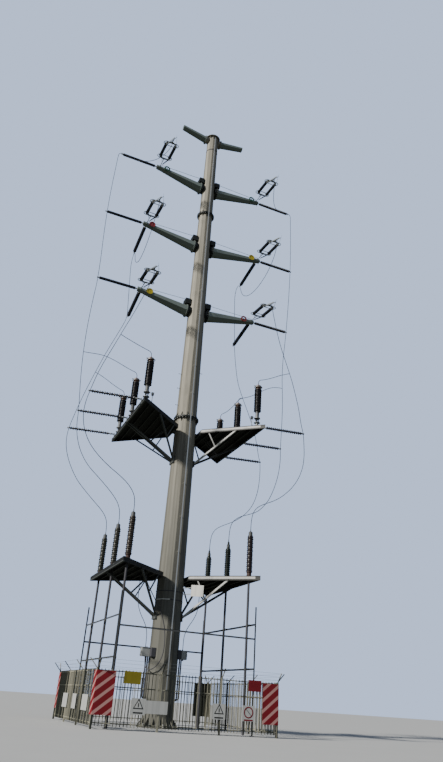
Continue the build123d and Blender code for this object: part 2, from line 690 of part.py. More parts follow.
# Routes of the leads, from the line to the termination
TOP_LOOP = (
    ("top", -180, -2790, -404), ("top", -150, -2720, -760), ("top", -30, -2450, -1020),
    ("top", 160, -2030, -1130), ("top", 430, -1560, -1110), ("top", 770, -1110, -980),
    ("top", 1150, -730, -780), ("top", 1540, -420, -540), ("top", 1830, -240, -300),
    ("top", 2040, -130, -100), ("top", 2260, -64, 25), ("top", 2440, -64, -105),
    ("top", 2480, -64, -330), ("middle", 2240, -64, 0), ("bottom", 2240, -64, 0),
)
MIDDLE_LOOP = (
    ("middle", -180, -2790, -404), ("middle", -160, -2720, -860), ("middle", -150, -2470, -1300),
    ("middle", -150, -2080, -1680), ("middle", -160, -1580, -1990), ("middle", -180, -1000, -2210),
    ("middle", -200, -390, -2320), ("middle", -220, 240, -2310), ("middle", -235, 840, -2170),
    ("middle", -240, 1370, -1890), ("middle", -240, 1810, -1500), ("middle", -240, 2040, -1130),
    ("middle", -240, 2190, -770), ("middle", -240, 2370, -420), ("middle", -240, 2660, -270),
    ("middle", -240, 2920, -420), ("middle", -240, 3040, -750), ("middle", -245, 3060, -1160),
    ("bottom", -108, 2410, 40), ("bottom", -116, 2372, -390),
)
ROUTES = {
    "top_left": TOP_LOOP + (
        ("bottom", 2310, -64, -1500), ("bottom", 2340, -64, -3650), ("bottom", 2230, -63, -5900),
        ("mid post", 0, -62, 0),
        ("mid post", -10, -60, -615), ("mid post", -100, -55, -1195), ("mid post", -280, -50, -1755),
        ("mid post", -560, -40, -2265), ("mid post", -930, -30, -2715), ("mid head", 1320, -20, 1970),
        ("mid head", 880, -10, 1610), ("mid head", 470, 0, 1240), ("mid head", 160, 0, 870),
        ("mid head", 0, 0, 430), ("mid head", 0, 0, 0),
    ),
    "top_right": TOP_LOOP + (
        ("bottom", 1970, -64, -2700), ("bottom", 2090, -63, -5140), ("mid post", 0, -62, 0),
        ("mid post", 20, -60, -605), ("mid post", -40, -55, -1255), ("mid post", -180, -50, -1905),
        ("mid post", -390, -40, -2535), ("mid post", -680, -30, -3155), ("mid head", 1570, -20, 1700),
        ("mid head", 1060, -10, 1460), ("mid head", 550, 0, 1270), ("mid head", 150, 0, 960),
        ("mid head", 0, 0, 500), ("mid head", 0, 0, 0),
    ),
    "middle_left": MIDDLE_LOOP + (
        ("bottom", -60, 2370, -820), ("bottom", 360, 2400, -2050), ("bottom", 780, 2430, -3300),
        ("bottom", 1010, 2436, -4080), ("bottom", 1240, 2439, -4880), ("bottom", 1460, 2439, -5680),
        ("bottom", 1730, 2439, -6780), ("far post", 0, -61, 0), ("far post", 30, -60, -615),
        ("far post", -70, -55, -1195),
        ("far post", -300, -50, -1775), ("far post", -610, -40, -2305), ("far post", -970, -30, -2785),
        ("far head", 1290, -20, 1850), ("far head", 850, -10, 1470), ("far head", 430, -5, 1130),
        ("far head", 130, 0, 790), ("far head", 0, 0, 400), ("far head", 0, 0, 0),
    ),
    "middle_right": MIDDLE_LOOP + (
        ("bottom", -70, 2370, -820), ("bottom", 40, 2400, -1580), ("bottom", 190, 2420, -2480),
        ("bottom", 350, 2430, -3090), ("bottom", 550, 2437, -3560), ("bottom", 790, 2439, -4120),
        ("bottom", 1100, 2439, -4780),
        ("bottom", 1440, 2439, -5600), ("bottom", 1710, 2439, -6480), ("bottom", 1850, 2439, -7280),
        ("far post", 0, -61, 0), ("far post", 30, -60, -605), ("far post", 0, -55, -1255),
        ("far post", -90, -50, -1905), ("far post", -290, -40, -2535), ("far post", -640, -30, -3095),
        ("far head", 1600, -20, 1860), ("far head", 1120, -10, 1570), ("far head", 640, -5, 1340),
        ("far head", 220, 0, 1070), ("far head", 0, 0, 580), ("far head", 0, 0, 0),
    ),
    "bottom_left": (
        ("bottom", -180, -2790, -404), ("bottom", -160, -2830, -900), ("bottom", -40, -2850, -1420),
        ("bottom", 140, -2840, -2080), ("bottom", 390, -2800, -2900), ("bottom", 690, -2750, -3820),
        ("bottom", 910, -2715, -4430), ("bottom", 1140, -2675, -5130), ("bottom", 1330, -2640, -5690),
        ("bottom", 1620, -2590, -6520), ("bottom", 1830, -2562, -7280), ("near post", 0, -61, 0),
        ("near post", 110, -60, -575), ("near post", 130, -55, -1115), ("near post", 40, -50, -1675),
        ("near post", -180, -40, -2205), ("near post", -520, -30, -2685), ("near head", 1740, -20, 1970),
        ("near head", 1290, -10, 1660), ("near head", 830, 0, 1400), ("near head", 410, 0, 1100),
        ("near head", 120, 0, 750), ("near head", 0, 0, 400), ("near head", 0, 0, 0),
    ),
    "bottom_right": (
        ("bottom", -180, -2790, -404), ("bottom", -120, -2830, -900), ("bottom", 0, -2850, -1480),
        ("bottom", 170, -2840, -2180), ("bottom", 410, -2800, -2930), ("bottom", 740, -2740, -3700),
        ("bottom", 940, -2710, -4160), ("bottom", 1180, -2670, -4720), ("bottom", 1420, -2620, -5400),
        ("bottom", 1690, -2580, -6320), ("bottom", 1840, -2562, -7180), ("near post", 0, -61, 0),
        ("near post", 40, -60, -605), ("near post", 60, -55, -1235), ("near post", -20, -50, -1865),
        ("near post", -250, -40, -2475), ("near post", -610, -30, -3035), ("near head", 1620, -20, 1870),
        ("near head", 1140, -10, 1550), ("near head", 630, 0, 1320), ("near head", 210, 0, 1050),
        ("near head", 0, 0, 580), ("near head", 0, 0, 0),
    ),
}
# Leads to the arresters: the longer lead, its run and share of it, then the points
BRANCHES = {
    "left": (
        ("bottom", 6, 0.5, (
            ("near arrester", 1120, -110, 500), ("near arrester", 700, -50, 400),
            ("near arrester", 300, -10, 310), ("near arrester", 80, 0, 260),
            ("near arrester", 0, 0, 120), ("near arrester", 0, 0, 0),
        )),
        ("top", 16, 0.5, (
            ("mid arrester", 2100, -50, 760), ("mid arrester", 1650, -40, 720),
            ("mid arrester", 1170, -20, 600), ("mid arrester", 700, -10, 430),
            ("mid arrester", 300, 0, 310), ("mid arrester", 80, 0, 260),
            ("mid arrester", 0, 0, 120), ("mid arrester", 0, 0, 0),
        )),
        ("middle", 23, 0.5, (
            ("far arrester", 1180, -60, 720), ("far arrester", 740, -30, 500),
            ("far arrester", 320, -10, 320), ("far arrester", 80, 0, 260),
            ("far arrester", 0, 0, 120), ("far arrester", 0, 0, 0),
        )),
    ),
    "right": (
        ("bottom", 6, 0.5, (
            ("near arrester", 1180, -120, 770), ("near arrester", 740, -60, 520),
            ("near arrester", 320, -10, 330), ("near arrester", 80, 0, 260),
            ("near arrester", 0, 0, 120), ("near arrester", 0, 0, 0),
        )),
        ("top", 15, 0.5, (
            ("mid arrester", 2080, -50, 1430), ("mid arrester", 1640, -35, 1190),
            ("mid arrester", 1200, -20, 860), ("mid arrester", 760, -10, 540),
            ("mid arrester", 330, 0, 330), ("mid arrester", 80, 0, 260),
            ("mid arrester", 0, 0, 120), ("mid arrester", 0, 0, 0),
        )),
        ("middle", 24, 0.5, (
            ("far arrester", 900, -50, 1140), ("far arrester", 660, -30, 800),
            ("far arrester", 360, -10, 460), ("far arrester", 100, 0, 290),
            ("far arrester", 0, 0, 130), ("far arrester", 0, 0, 0),
        )),
    ),
}

# Pole
save("pole_lower_section", lower_section())
save("pole_middle_section", middle_section())
save("pole_upper_section", upper_section())
cap_radius = POLE_TOP_WIDTH / 2 + CAP_LIP
save("pole_cap", extrude(Plane.XY.offset(POLE_HEIGHT) * Circle(cap_radius), CAP_THICKNESS))

# Arms
save("ground_wire_arms", *[
    arm(side, GROUND_ARM_Z, GROUND_ARM_REACH, GROUND_ROOT_DEPTH, GROUND_ROOT_DROP, GROUND_TIP_DEPTH)
    for side in SIDES.values()
])
for level, (z, reach) in ARM_LEVELS.items():
    save(f"crossarms_{level}", *[line_arm(side, z, reach) for side in SIDES.values()])
    save(f"strain_strings_{level}", *[strain_string(side, z, reach) for side in SIDES.values()])
    posts = [lead_posts(side, z, reach, level != "top") for side in SIDES.values()]
    save(f"lead_posts_{level}", *posts[0], *posts[1])

# Platforms and what stands on them
for name, side in SIDES.items():
    save(f"upper_deck_{name}", deck(side, UPPER_DECK_Z, False))
    save(f"upper_deck_frame_{name}", deck_frame(side, UPPER_DECK_Z, UPPER_BRACE_DROP))
    save(f"lower_deck_{name}", deck(side, LOWER_DECK_Z, True))
    save(f"lower_deck_frame_{name}", deck_frame(side, LOWER_DECK_Z, LOWER_BRACE_DROP))
    save(f"deck_posts_{name}", *deck_posts(side))
    column = arrester()
    save(f"surge_arresters_{name}", *[Pos(side * ARRESTER_X, y, UPPER_DECK_Z) * column for y in ROWS])
    head = termination()
    save(f"cable_terminations_{name}", *[Pos(side * TERMINATION_X, y, LOWER_DECK_Z) * head for y in ROWS])
    save(f"power_cables_{name}", *[extrude(cable_circle(side, y), LOWER_DECK_Z) for y in ROWS])
    save(f"cable_frame_{name}", cable_frame(side, HIGH_RAIL_Z[name]))
save("cable_frame_ties", frame_tie(-1, FRONT_TIE_Z), frame_tie(1, REAR_TIE_Z))

# Link boxes and climbing rail
save("link_boxes", *[link_box(side) for side in SIDES.values()])
save("climbing_rail", climbing_rail())

# Fence
front = Pos(0, -FENCE_Y, 0) * fence_run(2 * FENCE_X)
rear = Pos(0, FENCE_Y, 0) * Rot(0, 0, 180) * fence_run(2 * FENCE_X)
save("fence_front", front, corner_sheet(-1, -1), corner_sheet(1, -1))
save("fence_rear", rear, corner_sheet(-1, 1), corner_sheet(1, 1))
side_run = fence_run(2 * FENCE_Y - 2 * FENCE_POST)
for name, side in SIDES.items():
    save(f"fence_{name}", Pos(side * FENCE_X, 0, 0) * Rot(0, 0, side * 90) * side_run)

# Cables of the link boxes
save("earth_cable", lead("earth cable", places(SIDES["left"], EARTH_CABLE), EARTH_CABLE_DIAMETER))
box_cables = [lead(f"box cable {name}", places(side, BOX_CABLE)) for name, side in SIDES.items()]
save("box_cables", *box_cables)

# Leads
for name, side in SIDES.items():
    trunks = {level: places(side, ROUTES[f"{level}_{name}"]) for level in ARM_LEVELS}
    for level, points in trunks.items():
        save(f"lead_{level}_{name}", lead(f"{level} {name}", points))
    branches = []
    for level, run, share, route in BRANCHES[name]:
        points = tap(trunks[level], run, share, places(side, route))
        branches.append(lead(f"branch {level} {name}", points))
    save(f"arrester_leads_{name}", *branches)
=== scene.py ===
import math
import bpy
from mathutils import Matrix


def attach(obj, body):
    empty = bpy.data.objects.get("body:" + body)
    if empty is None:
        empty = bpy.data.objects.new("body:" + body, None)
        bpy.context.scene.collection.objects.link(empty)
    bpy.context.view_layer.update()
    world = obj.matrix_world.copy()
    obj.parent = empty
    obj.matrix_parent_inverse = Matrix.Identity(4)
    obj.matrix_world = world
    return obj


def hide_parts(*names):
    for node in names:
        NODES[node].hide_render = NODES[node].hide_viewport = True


bl_info = {
    "name": "Cable Terminal Tower",
    "version": (1, 0, 0),
    "blender": (4, 5, 0),
    "location": "3D View > Sidebar > Tower",
    "description": "Finishes and small fittings for a cable terminal tower",
    "category": "Object",
}

import bmesh
import bpy
from bpy.props import FloatProperty, FloatVectorProperty, IntProperty, PointerProperty
from mathutils import Matrix, Vector

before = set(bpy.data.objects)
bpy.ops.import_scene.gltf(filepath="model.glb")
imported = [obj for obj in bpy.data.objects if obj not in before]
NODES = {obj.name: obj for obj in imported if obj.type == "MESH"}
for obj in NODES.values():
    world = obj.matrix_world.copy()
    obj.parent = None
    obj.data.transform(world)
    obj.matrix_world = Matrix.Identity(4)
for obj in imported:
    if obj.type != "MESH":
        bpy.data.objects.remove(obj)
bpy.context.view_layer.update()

# Places on the tower, in metres, as the solids have them
SIDES = {"left": -1, "right": 1}
ROWS = {"near": -2.5, "mid": 0.0, "far": 2.5}
LEVELS = {"top": (3.55, 30.83), "middle": (3.84, 26.06), "bottom": (3.60, 21.38)}
POLE_HEIGHT = 35.0
POLE_BASE = 1.3
POLE_TOP = 0.69
ANCHORS = 16
ANCHOR_CIRCLE = 0.765
JOINTS = (14.15, 28.15)
JOINT_LIP = 0.13
GROUND_ARM_Z = 35.12
ROOT_GAP = 0.18
ROOT_DROP = 0.52
ROOT_HALF = 0.31
TIP_HALF = 0.135
TIP_INSET = 0.18
UPPER_DECK = 13.49
LOWER_DECK = 6.19
ARRESTER_X = 2.93
TERMINATION_X = 2.82
FRAME_X = 2.98
FRAME_Y = 2.98
FRAME_TOPS = (4.86, 4.78)
TIE_HEIGHTS = (3.57, 3.25)
RAIL_FACE = 3.0115
RAIL_HEIGHTS = {"left": (2.42, 3.95), "right": (2.42, 4.15)}
ANGLE_LEG = 0.063
ANGLE_WALL = 0.009
FENCE_FACES = (3.7372, 3.7872)
SIGN_FACE = -3.80
LEAD_DIAMETER = 0.03
EARTH_CABLE_DIAMETER = 0.04

# Slopes of the hanging and leaning posts, in degrees
STRING_FALL = 8
BACK_POST_FALL = 10
DECK_POST_TILT = 4

# Camera: heading, pitch and roll in degrees, lens in millimetres, place in metres
CAMERA_ANGLES = (21.69, 27.44, 3.95)
CAMERA_LENS = 29.26
CAMERA_PLACE = (-9.466, -28.436, 1.083)

# Where finishes change on the pole and on the right frames' near edge: painted shade on the pole's
# seats, a painted highlight on the near edge
SEAT_SHADE_HEIGHTS = (13.9, 34.3)
NEAR_EDGE = (0.677, 0.736)
# Foot tint: partly the zinc's own darker, greener tone, partly painted shade under the platforms
POLE_FOOT_TONE_AND_SHADE = (0.16, 0.16, 0.14)
# Seat tint: painted shade on what stands out from the pole between the seat heights
SEAT_SHADE_TINT = (0.010, 0.013, 0.012)
GRATING_GAP_TINT = (0.008, 0.009, 0.008)
STRIPE_PALE_TINT = (0.56, 0.30, 0.28)
WORN_PAINT_TINT = (0.46, 0.44, 0.34)
# Near edge tint: a painted highlight on the right frames' near members
NEAR_EDGE_HIGHLIGHT_TINT = (0.66, 0.66, 0.64)


def mirrored(points):
    return tuple((-x, y, z) for x, y, z in points)


# Points of the routes that both sides share
TOP_START = (
    (3.37, -2.79, 30.426), (3.4, -2.72, 30.07), (3.52, -2.45, 29.81), (3.71, -2.03, 29.7),
    (3.98, -1.56, 29.72), (4.32, -1.11, 29.85), (4.7, -0.73, 30.05), (5.09, -0.42, 30.29),
    (5.38, -0.24, 30.53), (5.59, -0.13, 30.73), (5.81, -0.064, 30.855), (5.99, -0.064, 30.725),
    (6.03, -0.064, 30.5), (6.08, -0.064, 26.06), (5.84, -0.064, 21.38),
)
MIDDLE_START = (
    (3.66, -2.79, 25.656), (3.68, -2.72, 25.2), (3.69, -2.47, 24.76), (3.69, -2.08, 24.38),
    (3.68, -1.58, 24.07), (3.66, -1.0, 23.85), (3.64, -0.39, 23.74), (3.62, 0.24, 23.75),
    (3.605, 0.84, 23.89), (3.6, 1.37, 24.17), (3.6, 1.81, 24.56), (3.6, 2.04, 24.93),
    (3.6, 2.19, 25.29), (3.6, 2.37, 25.64), (3.6, 2.66, 25.79), (3.6, 2.92, 25.64),
    (3.6, 3.04, 25.31), (3.595, 3.06, 24.9), (3.492, 2.41, 21.42), (3.484, 2.372, 20.99),
)
BOX_CABLE = (
    (1.47, 0.0, 6.055), (1.47, 0.0, 5.705), (1.475, 0.0, 5.355), (1.465, 0.0, 5.005),
    (1.4, 0.0, 4.685), (1.26, 0.0, 4.39), (1.09, 0.0, 4.15), (0.95, 0.0, 3.9), (0.88, 0.0, 3.64),
    (0.87, 0.0, 3.36), (0.87, 0.0, 3.08),
)
# Routes of the leads: name, length in metres, points
LEADS = {
    "lead_top_left": (28.08, (
        *mirrored(TOP_START),
        (-5.91, -0.064, 19.88), (-5.94, -0.064, 17.73), (-5.83, -0.063, 15.48),
        (-5.579, -0.062, 13.384), (-5.569, -0.06, 12.769), (-5.479, -0.055, 12.189),
        (-5.299, -0.05, 11.629), (-5.019, -0.04, 11.119), (-4.649, -0.03, 10.669),
        (-4.14, -0.02, 10.27), (-3.7, -0.01, 9.91), (-3.29, 0.0, 9.54), (-2.98, 0.0, 9.17),
        (-2.82, 0.0, 8.73), (-2.82, 0.0, 8.3),
    )),
    "lead_middle_left": (26.27, (
        *mirrored(MIDDLE_START),
        (-3.54, 2.37, 20.56), (-3.96, 2.4, 19.33), (-4.38, 2.43, 18.08), (-4.61, 2.436, 17.3),
        (-4.84, 2.439, 16.5), (-5.06, 2.439, 15.7), (-5.33, 2.439, 14.6), (-5.579, 2.439, 13.384),
        (-5.609, 2.44, 12.769), (-5.509, 2.445, 12.189), (-5.279, 2.45, 11.609),
        (-4.969, 2.46, 11.079), (-4.609, 2.47, 10.599), (-4.11, 2.48, 10.15), (-3.67, 2.49, 9.77),
        (-3.25, 2.495, 9.43), (-2.95, 2.5, 9.09), (-2.82, 2.5, 8.7), (-2.82, 2.5, 8.3),
    )),
    "lead_bottom_left": (14.23, (
        (-3.42, -2.79, 20.976), (-3.44, -2.83, 20.48), (-3.56, -2.85, 19.96), (-3.74, -2.84, 19.3),
        (-3.99, -2.8, 18.48), (-4.29, -2.75, 17.56), (-4.51, -2.715, 16.95), (-4.74, -2.675, 16.25),
        (-4.93, -2.64, 15.69), (-5.22, -2.59, 14.86), (-5.43, -2.562, 14.1),
        (-5.579, -2.561, 13.384), (-5.689, -2.56, 12.809), (-5.709, -2.555, 12.269),
        (-5.619, -2.55, 11.709), (-5.399, -2.54, 11.179), (-5.059, -2.53, 10.699),
        (-4.56, -2.52, 10.27), (-4.11, -2.51, 9.96), (-3.65, -2.5, 9.7), (-3.23, -2.5, 9.4),
        (-2.94, -2.5, 9.05), (-2.82, -2.5, 8.7), (-2.82, -2.5, 8.3),
    )),
    "lead_top_right": (28.25, (
        *TOP_START,
        (5.57, -0.064, 18.68), (5.69, -0.063, 16.24), (5.579, -0.062, 13.726),
        (5.599, -0.06, 13.121), (5.539, -0.055, 12.471), (5.399, -0.05, 11.821),
        (5.189, -0.04, 11.191), (4.899, -0.03, 10.571), (4.39, -0.02, 10.0), (3.88, -0.01, 9.76),
        (3.37, 0.0, 9.57), (2.97, 0.0, 9.26), (2.82, 0.0, 8.8), (2.82, 0.0, 8.3),
    )),
    "lead_middle_right": (26.5, (
        *MIDDLE_START,
        (3.53, 2.37, 20.56), (3.64, 2.4, 19.8), (3.79, 2.42, 18.9), (3.95, 2.43, 18.29),
        (4.15, 2.437, 17.82), (4.39, 2.439, 17.26), (4.7, 2.439, 16.6), (5.04, 2.439, 15.78),
        (5.31, 2.439, 14.9), (5.45, 2.439, 14.1), (5.579, 2.439, 13.726), (5.609, 2.44, 13.121),
        (5.579, 2.445, 12.471), (5.489, 2.45, 11.821), (5.289, 2.46, 11.191), (4.939, 2.47, 10.631),
        (4.42, 2.48, 10.16), (3.94, 2.49, 9.87), (3.46, 2.495, 9.64), (3.04, 2.5, 9.37),
        (2.82, 2.5, 8.88), (2.82, 2.5, 8.3),
    )),
    "lead_bottom_right": (14.23, (
        (3.42, -2.79, 20.976), (3.48, -2.83, 20.48), (3.6, -2.85, 19.9), (3.77, -2.84, 19.2),
        (4.01, -2.8, 18.45), (4.34, -2.74, 17.68), (4.54, -2.71, 17.22), (4.78, -2.67, 16.66),
        (5.02, -2.62, 15.98), (5.29, -2.58, 15.06), (5.44, -2.562, 14.2), (5.579, -2.561, 13.726),
        (5.619, -2.56, 13.121), (5.639, -2.555, 12.491), (5.559, -2.55, 11.861),
        (5.329, -2.54, 11.251), (4.969, -2.53, 10.691), (4.44, -2.52, 10.17), (3.96, -2.51, 9.85),
        (3.45, -2.5, 9.62), (3.03, -2.5, 9.35), (2.82, -2.5, 8.88), (2.82, -2.5, 8.3),
    )),
}
# Branches to the arresters
BRANCHES = {
    "branch_near_left": (1.93, (
        (-4.611, -2.693, 16.595), (-4.422, -2.664, 16.535), (-4.05, -2.61, 16.44),
        (-3.63, -2.55, 16.34), (-3.23, -2.51, 16.25), (-3.01, -2.5, 16.2), (-2.93, -2.5, 16.06),
        (-2.93, -2.5, 15.94),
    )),
    "branch_mid_left": (3.2, (
        (-5.87, -0.063, 16.606), (-5.67, -0.06, 16.616), (-5.03, -0.05, 16.7),
        (-4.58, -0.04, 16.66), (-4.1, -0.02, 16.54), (-3.63, -0.01, 16.37), (-3.23, 0.0, 16.25),
        (-3.01, 0.0, 16.2), (-2.93, 0.0, 16.06), (-2.93, 0.0, 15.94),
    )),
    "branch_far_left": (2.11, (
        (-4.71, 2.438, 16.896), (-4.518, 2.438, 16.841), (-4.11, 2.44, 16.66), (-3.67, 2.47, 16.44),
        (-3.25, 2.49, 16.26), (-3.01, 2.5, 16.2), (-2.93, 2.5, 16.06), (-2.93, 2.5, 15.94),
    )),
    "branch_near_right": (2.08, (
        (4.646, -2.688, 16.934), (4.463, -2.665, 16.857), (4.11, -2.62, 16.71),
        (3.67, -2.56, 16.46), (3.25, -2.51, 16.27), (3.01, -2.5, 16.2), (2.93, -2.5, 16.06),
        (2.93, -2.5, 15.94),
    )),
    "branch_mid_right": (3.21, (
        (5.615, -0.063, 17.459), (5.415, -0.059, 17.449), (5.01, -0.05, 17.37),
        (4.57, -0.035, 17.13), (4.13, -0.02, 16.8), (3.69, -0.01, 16.48), (3.26, 0.0, 16.27),
        (3.01, 0.0, 16.2), (2.93, 0.0, 16.06), (2.93, 0.0, 15.94),
    )),
    "branch_far_right": (2.13, (
        (4.256, 2.438, 17.534), (4.072, 2.442, 17.455), (3.83, 2.45, 17.08), (3.59, 2.47, 16.74),
        (3.29, 2.49, 16.4), (3.03, 2.5, 16.23), (2.93, 2.5, 16.07), (2.93, 2.5, 15.94),
    )),
}
# Cables from the lower platforms to the link boxes
POLE_CABLES = {
    "earth_cable": (5.17, (
        (-1.47, -0.95, 6.055), (-1.47, -0.95, 5.835), (-1.39, -0.93, 5.615), (-1.23, -0.895, 5.385),
        (-1.06, -0.86, 5.155), (-0.88, -0.82, 4.925), (-0.7, -0.785, 4.685), (-0.54, -0.76, 4.435),
        (-0.42, -0.74, 4.16), (-0.32, -0.73, 3.84), (-0.265, -0.725, 3.5), (-0.25, -0.725, 3.15),
        (-0.28, -0.72, 2.81), (-0.38, -0.69, 2.5), (-0.55, -0.61, 2.26), (-0.73, -0.46, 2.16),
        (-0.84, -0.27, 2.22), (-0.87, -0.1, 2.41), (-0.87, -0.1, 2.66),
    )),
    "box_cable_left": (3.11, mirrored(BOX_CABLE)),
    "box_cable_right": (3.11, BOX_CABLE),
}


def colour(name, description, default):
    return FloatVectorProperty(
        name=name, description=description, default=default, size=3, subtype="COLOR", min=0.0,
        max=1.0,
    )


def length(name, description, default):
    return FloatProperty(
        name=name, description=description, default=default, min=0.0, unit="LENGTH",
        subtype="DISTANCE",
    )


class TowerSizes(bpy.types.PropertyGroup):
    """Sizes of the small fittings."""

    shed_pitch: length("Shed pitch", "Distance between the sheds of a post or rod", 0.075)
    rod_core: length("Rod core", "Radius of the rod inside the sheds", 0.032)
    bolt_radius: length("Bolt radius", "Radius of the flange bolts' hexagons", 0.026)
    wire_radius: length("Wire radius", "Radius of the fence's wires and the arm lines", 0.006)
    flange_bolts: IntProperty(
        name="Flange bolts", description="Bolts round each joint of the pole", default=24, min=4
    )


class TowerColours(bpy.types.PropertyGroup):
    """Colours of the finishes."""

    pole_steel: colour("Pole steel", "Weathered zinc on the pole", (0.33, 0.31, 0.255))
    pole_stain: colour("Pole stain", "Streaks down the pole", (0.10, 0.095, 0.075))
    arm_steel: colour("Arm steel", "Weathered zinc on the arms", (0.070, 0.092, 0.082))
    frame_steel: colour("Frame steel", "Beams, braces and posts", (0.030, 0.033, 0.032))
    bright_zinc: colour("Bright zinc", "Newer fittings, rails and clamps", (0.52, 0.53, 0.52))
    polymer: colour("Polymer", "Sheds of the rods and posts", (0.016, 0.019, 0.030))
    sheath: colour("Sheath", "Outer sheath of the cables", (0.012, 0.012, 0.014))
    fence_paint: colour("Fence paint", "Pickets, rails and posts of the fence", (0.035, 0.04, 0.03))
    stripe_red: colour("Stripe red", "Dark stripes of the corner panels", (0.27, 0.003, 0.012))
    box_paint: colour("Box paint", "Link boxes", (0.42, 0.44, 0.44))


def pole_width(z):
    return POLE_BASE + (POLE_TOP - POLE_BASE) * z / POLE_HEIGHT


# Nodes for finishes
def set_or_link(tree, value, socket):
    if isinstance(value, (int, float, tuple)):
        socket.default_value = value
    else:
        tree.links.new(value, socket)


def ramp_between(tree, value, low, high):
    made = tree.nodes.new("ShaderNodeMapRange")
    for socket, part in zip(made.inputs, (value, low, high)):
        set_or_link(tree, part, socket)
    return made.outputs[0]


def maths(tree, operation, first, second=0.0):
    made = tree.nodes.new("ShaderNodeMath")
    made.operation = operation
    for socket, value in zip(made.inputs, (first, second)):
        set_or_link(tree, value, socket)
    return made.outputs[0]


def times(tree, product, *others):
    for other in others:
        product = maths(tree, "MULTIPLY", product, other)
    return product


def under(tree, value, limit):
    return maths(tree, "LESS_THAN", value, limit)


def over(tree, value, limit):
    return maths(tree, "GREATER_THAN", value, limit)


def mixed(tree, share, first, second):
    made = tree.nodes.new("ShaderNodeMix")
    made.data_type = "RGBA"
    for index, value in ((0, share), (6, first), (7, second)):
        set_or_link(tree, value, made.inputs[index])
    return made.outputs[2]


def object_place(tree):
    return tree.nodes.new("ShaderNodeTexCoord").outputs["Object"]


def axes_of(tree, vector):
    parts = tree.nodes.new("ShaderNodeSeparateXYZ")
    tree.links.new(vector, parts.inputs[0])
    return parts.outputs


def noise(tree, scales, scale, detail):
    mapping = tree.nodes.new("ShaderNodeMapping")
    mapping.inputs["Scale"].default_value = scales
    made = tree.nodes.new("ShaderNodeTexNoise")
    made.inputs["Scale"].default_value = scale
    made.inputs["Detail"].default_value = detail
    tree.links.new(object_place(tree), mapping.inputs[0])
    tree.links.new(mapping.outputs[0], made.inputs["Vector"])
    return made.outputs[0]


COLOUR, VALUE = "NodeSocketColor", "NodeSocketFloat"


def new_group(name, inputs, outputs):
    tree = bpy.data.node_groups.new(name, "ShaderNodeTree")
    for label, kind, default in inputs:
        socket = tree.interface.new_socket(name=label, in_out="INPUT", socket_type=kind)
        socket.default_value = default
    for label, kind in outputs:
        tree.interface.new_socket(name=label, in_out="OUTPUT", socket_type=kind)
    given, made = tree.nodes.new("NodeGroupInput"), tree.nodes.new("NodeGroupOutput")
    return tree, given.outputs, made.inputs


def weathering_group():
    """Streaks that run down, blotches and fine speckle over one base colour."""
    if "weathering" in bpy.data.node_groups:
        return bpy.data.node_groups["weathering"]
    tree, given, made = new_group(
        "weathering",
        (
            ("Base", COLOUR, (0.5, 0.5, 0.5, 1)), ("Stain", COLOUR, (0.1, 0.1, 0.1, 1)),
            ("Streaks", VALUE, 0.5), ("Blotches", VALUE, 0.3), ("Speckle", VALUE, 0.3),
        ),
        (("Color", COLOUR), ("Roughness", VALUE), ("Height", VALUE)),
    )
    streak = ramp_between(tree, noise(tree, (9, 9, 0.22), 1.0, 6.0), 0.45, 0.68)
    blotch = ramp_between(tree, noise(tree, (1, 1, 0.6), 1.7, 4.0), 0.42, 0.72)
    grain = noise(tree, (1, 1, 1), 55.0, 3.0)
    streak, blotch = times(tree, streak, given["Streaks"]), times(tree, blotch, given["Blotches"])
    mask = maths(tree, "MAXIMUM", streak, blotch)
    dots = times(tree, ramp_between(tree, grain, 0.55, 0.7), given["Speckle"])
    body = mixed(tree, dots, mixed(tree, mask, given["Base"], given["Stain"]), given["Stain"])
    tree.links.new(body, made["Color"])
    tree.links.new(maths(tree, "ADD", times(tree, mask, 0.25), 0.5), made["Roughness"])
    tree.links.new(maths(tree, "ADD", grain, mask), made["Height"])
    return tree


def dust_group():
    """Pale dust on the faces that look up, over one base colour."""
    if "settled_dust" in bpy.data.node_groups:
        return bpy.data.node_groups["settled_dust"]
    tree, given, made = new_group(
        "settled_dust",
        (
            ("Base", COLOUR, (0.02, 0.02, 0.03, 1)), ("Dust", COLOUR, (0.2, 0.2, 0.2, 1)),
            ("Amount", VALUE, 0.4),
        ),
        (("Color", COLOUR), ("Roughness", VALUE)),
    )
    normal = tree.nodes.new("ShaderNodeTexCoord").outputs["Normal"]
    upward = ramp_between(tree, axes_of(tree, normal)[2], 0.1, 0.9)
    cloud = ramp_between(tree, noise(tree, (1, 1, 1), 6.0, 4.0), 0.3, 0.7)
    mask = times(tree, upward, cloud, given["Amount"])
    tree.links.new(mixed(tree, mask, given["Base"], given["Dust"]), made["Color"])
    tree.links.new(maths(tree, "ADD", times(tree, mask, 0.4), 0.38), made["Roughness"])
    return tree


def stripe_group():
    """Mask of stripes that rise with X and fall with Y."""
    if "slanting_stripes" in bpy.data.node_groups:
        return bpy.data.node_groups["slanting_stripes"]
    tree, given, made = new_group(
        "slanting_stripes", (("Pitch", VALUE, 0.3), ("Share", VALUE, 0.5)), (("Mask", VALUE),)
    )
    x, y, height = axes_of(tree, object_place(tree))
    slant = maths(tree, "ADD", height, times(tree, maths(tree, "SUBTRACT", y, x), 0.8))
    turns = maths(tree, "DIVIDE", maths(tree, "ADD", slant, 0.012), given["Pitch"])
    tree.links.new(under(tree, maths(tree, "FRACT", turns), given["Share"]), made["Mask"])
    return tree


def group_node(tree, group, **values):
    made = tree.nodes.new("ShaderNodeGroup")
    made.node_tree = group
    for key, value in values.items():
        set_or_link(tree, value, made.inputs[key])
    return made


def weathered(tree, base, stain, streaks, blotches, speckle):
    return group_node(
        tree, weathering_group(), Base=base, Stain=solid(stain), Streaks=streaks,
        Blotches=blotches, Speckle=speckle,
    )


def solid(rgb, share=1.0):
    return (rgb[0] * share, rgb[1] * share, rgb[2] * share, 1.0)


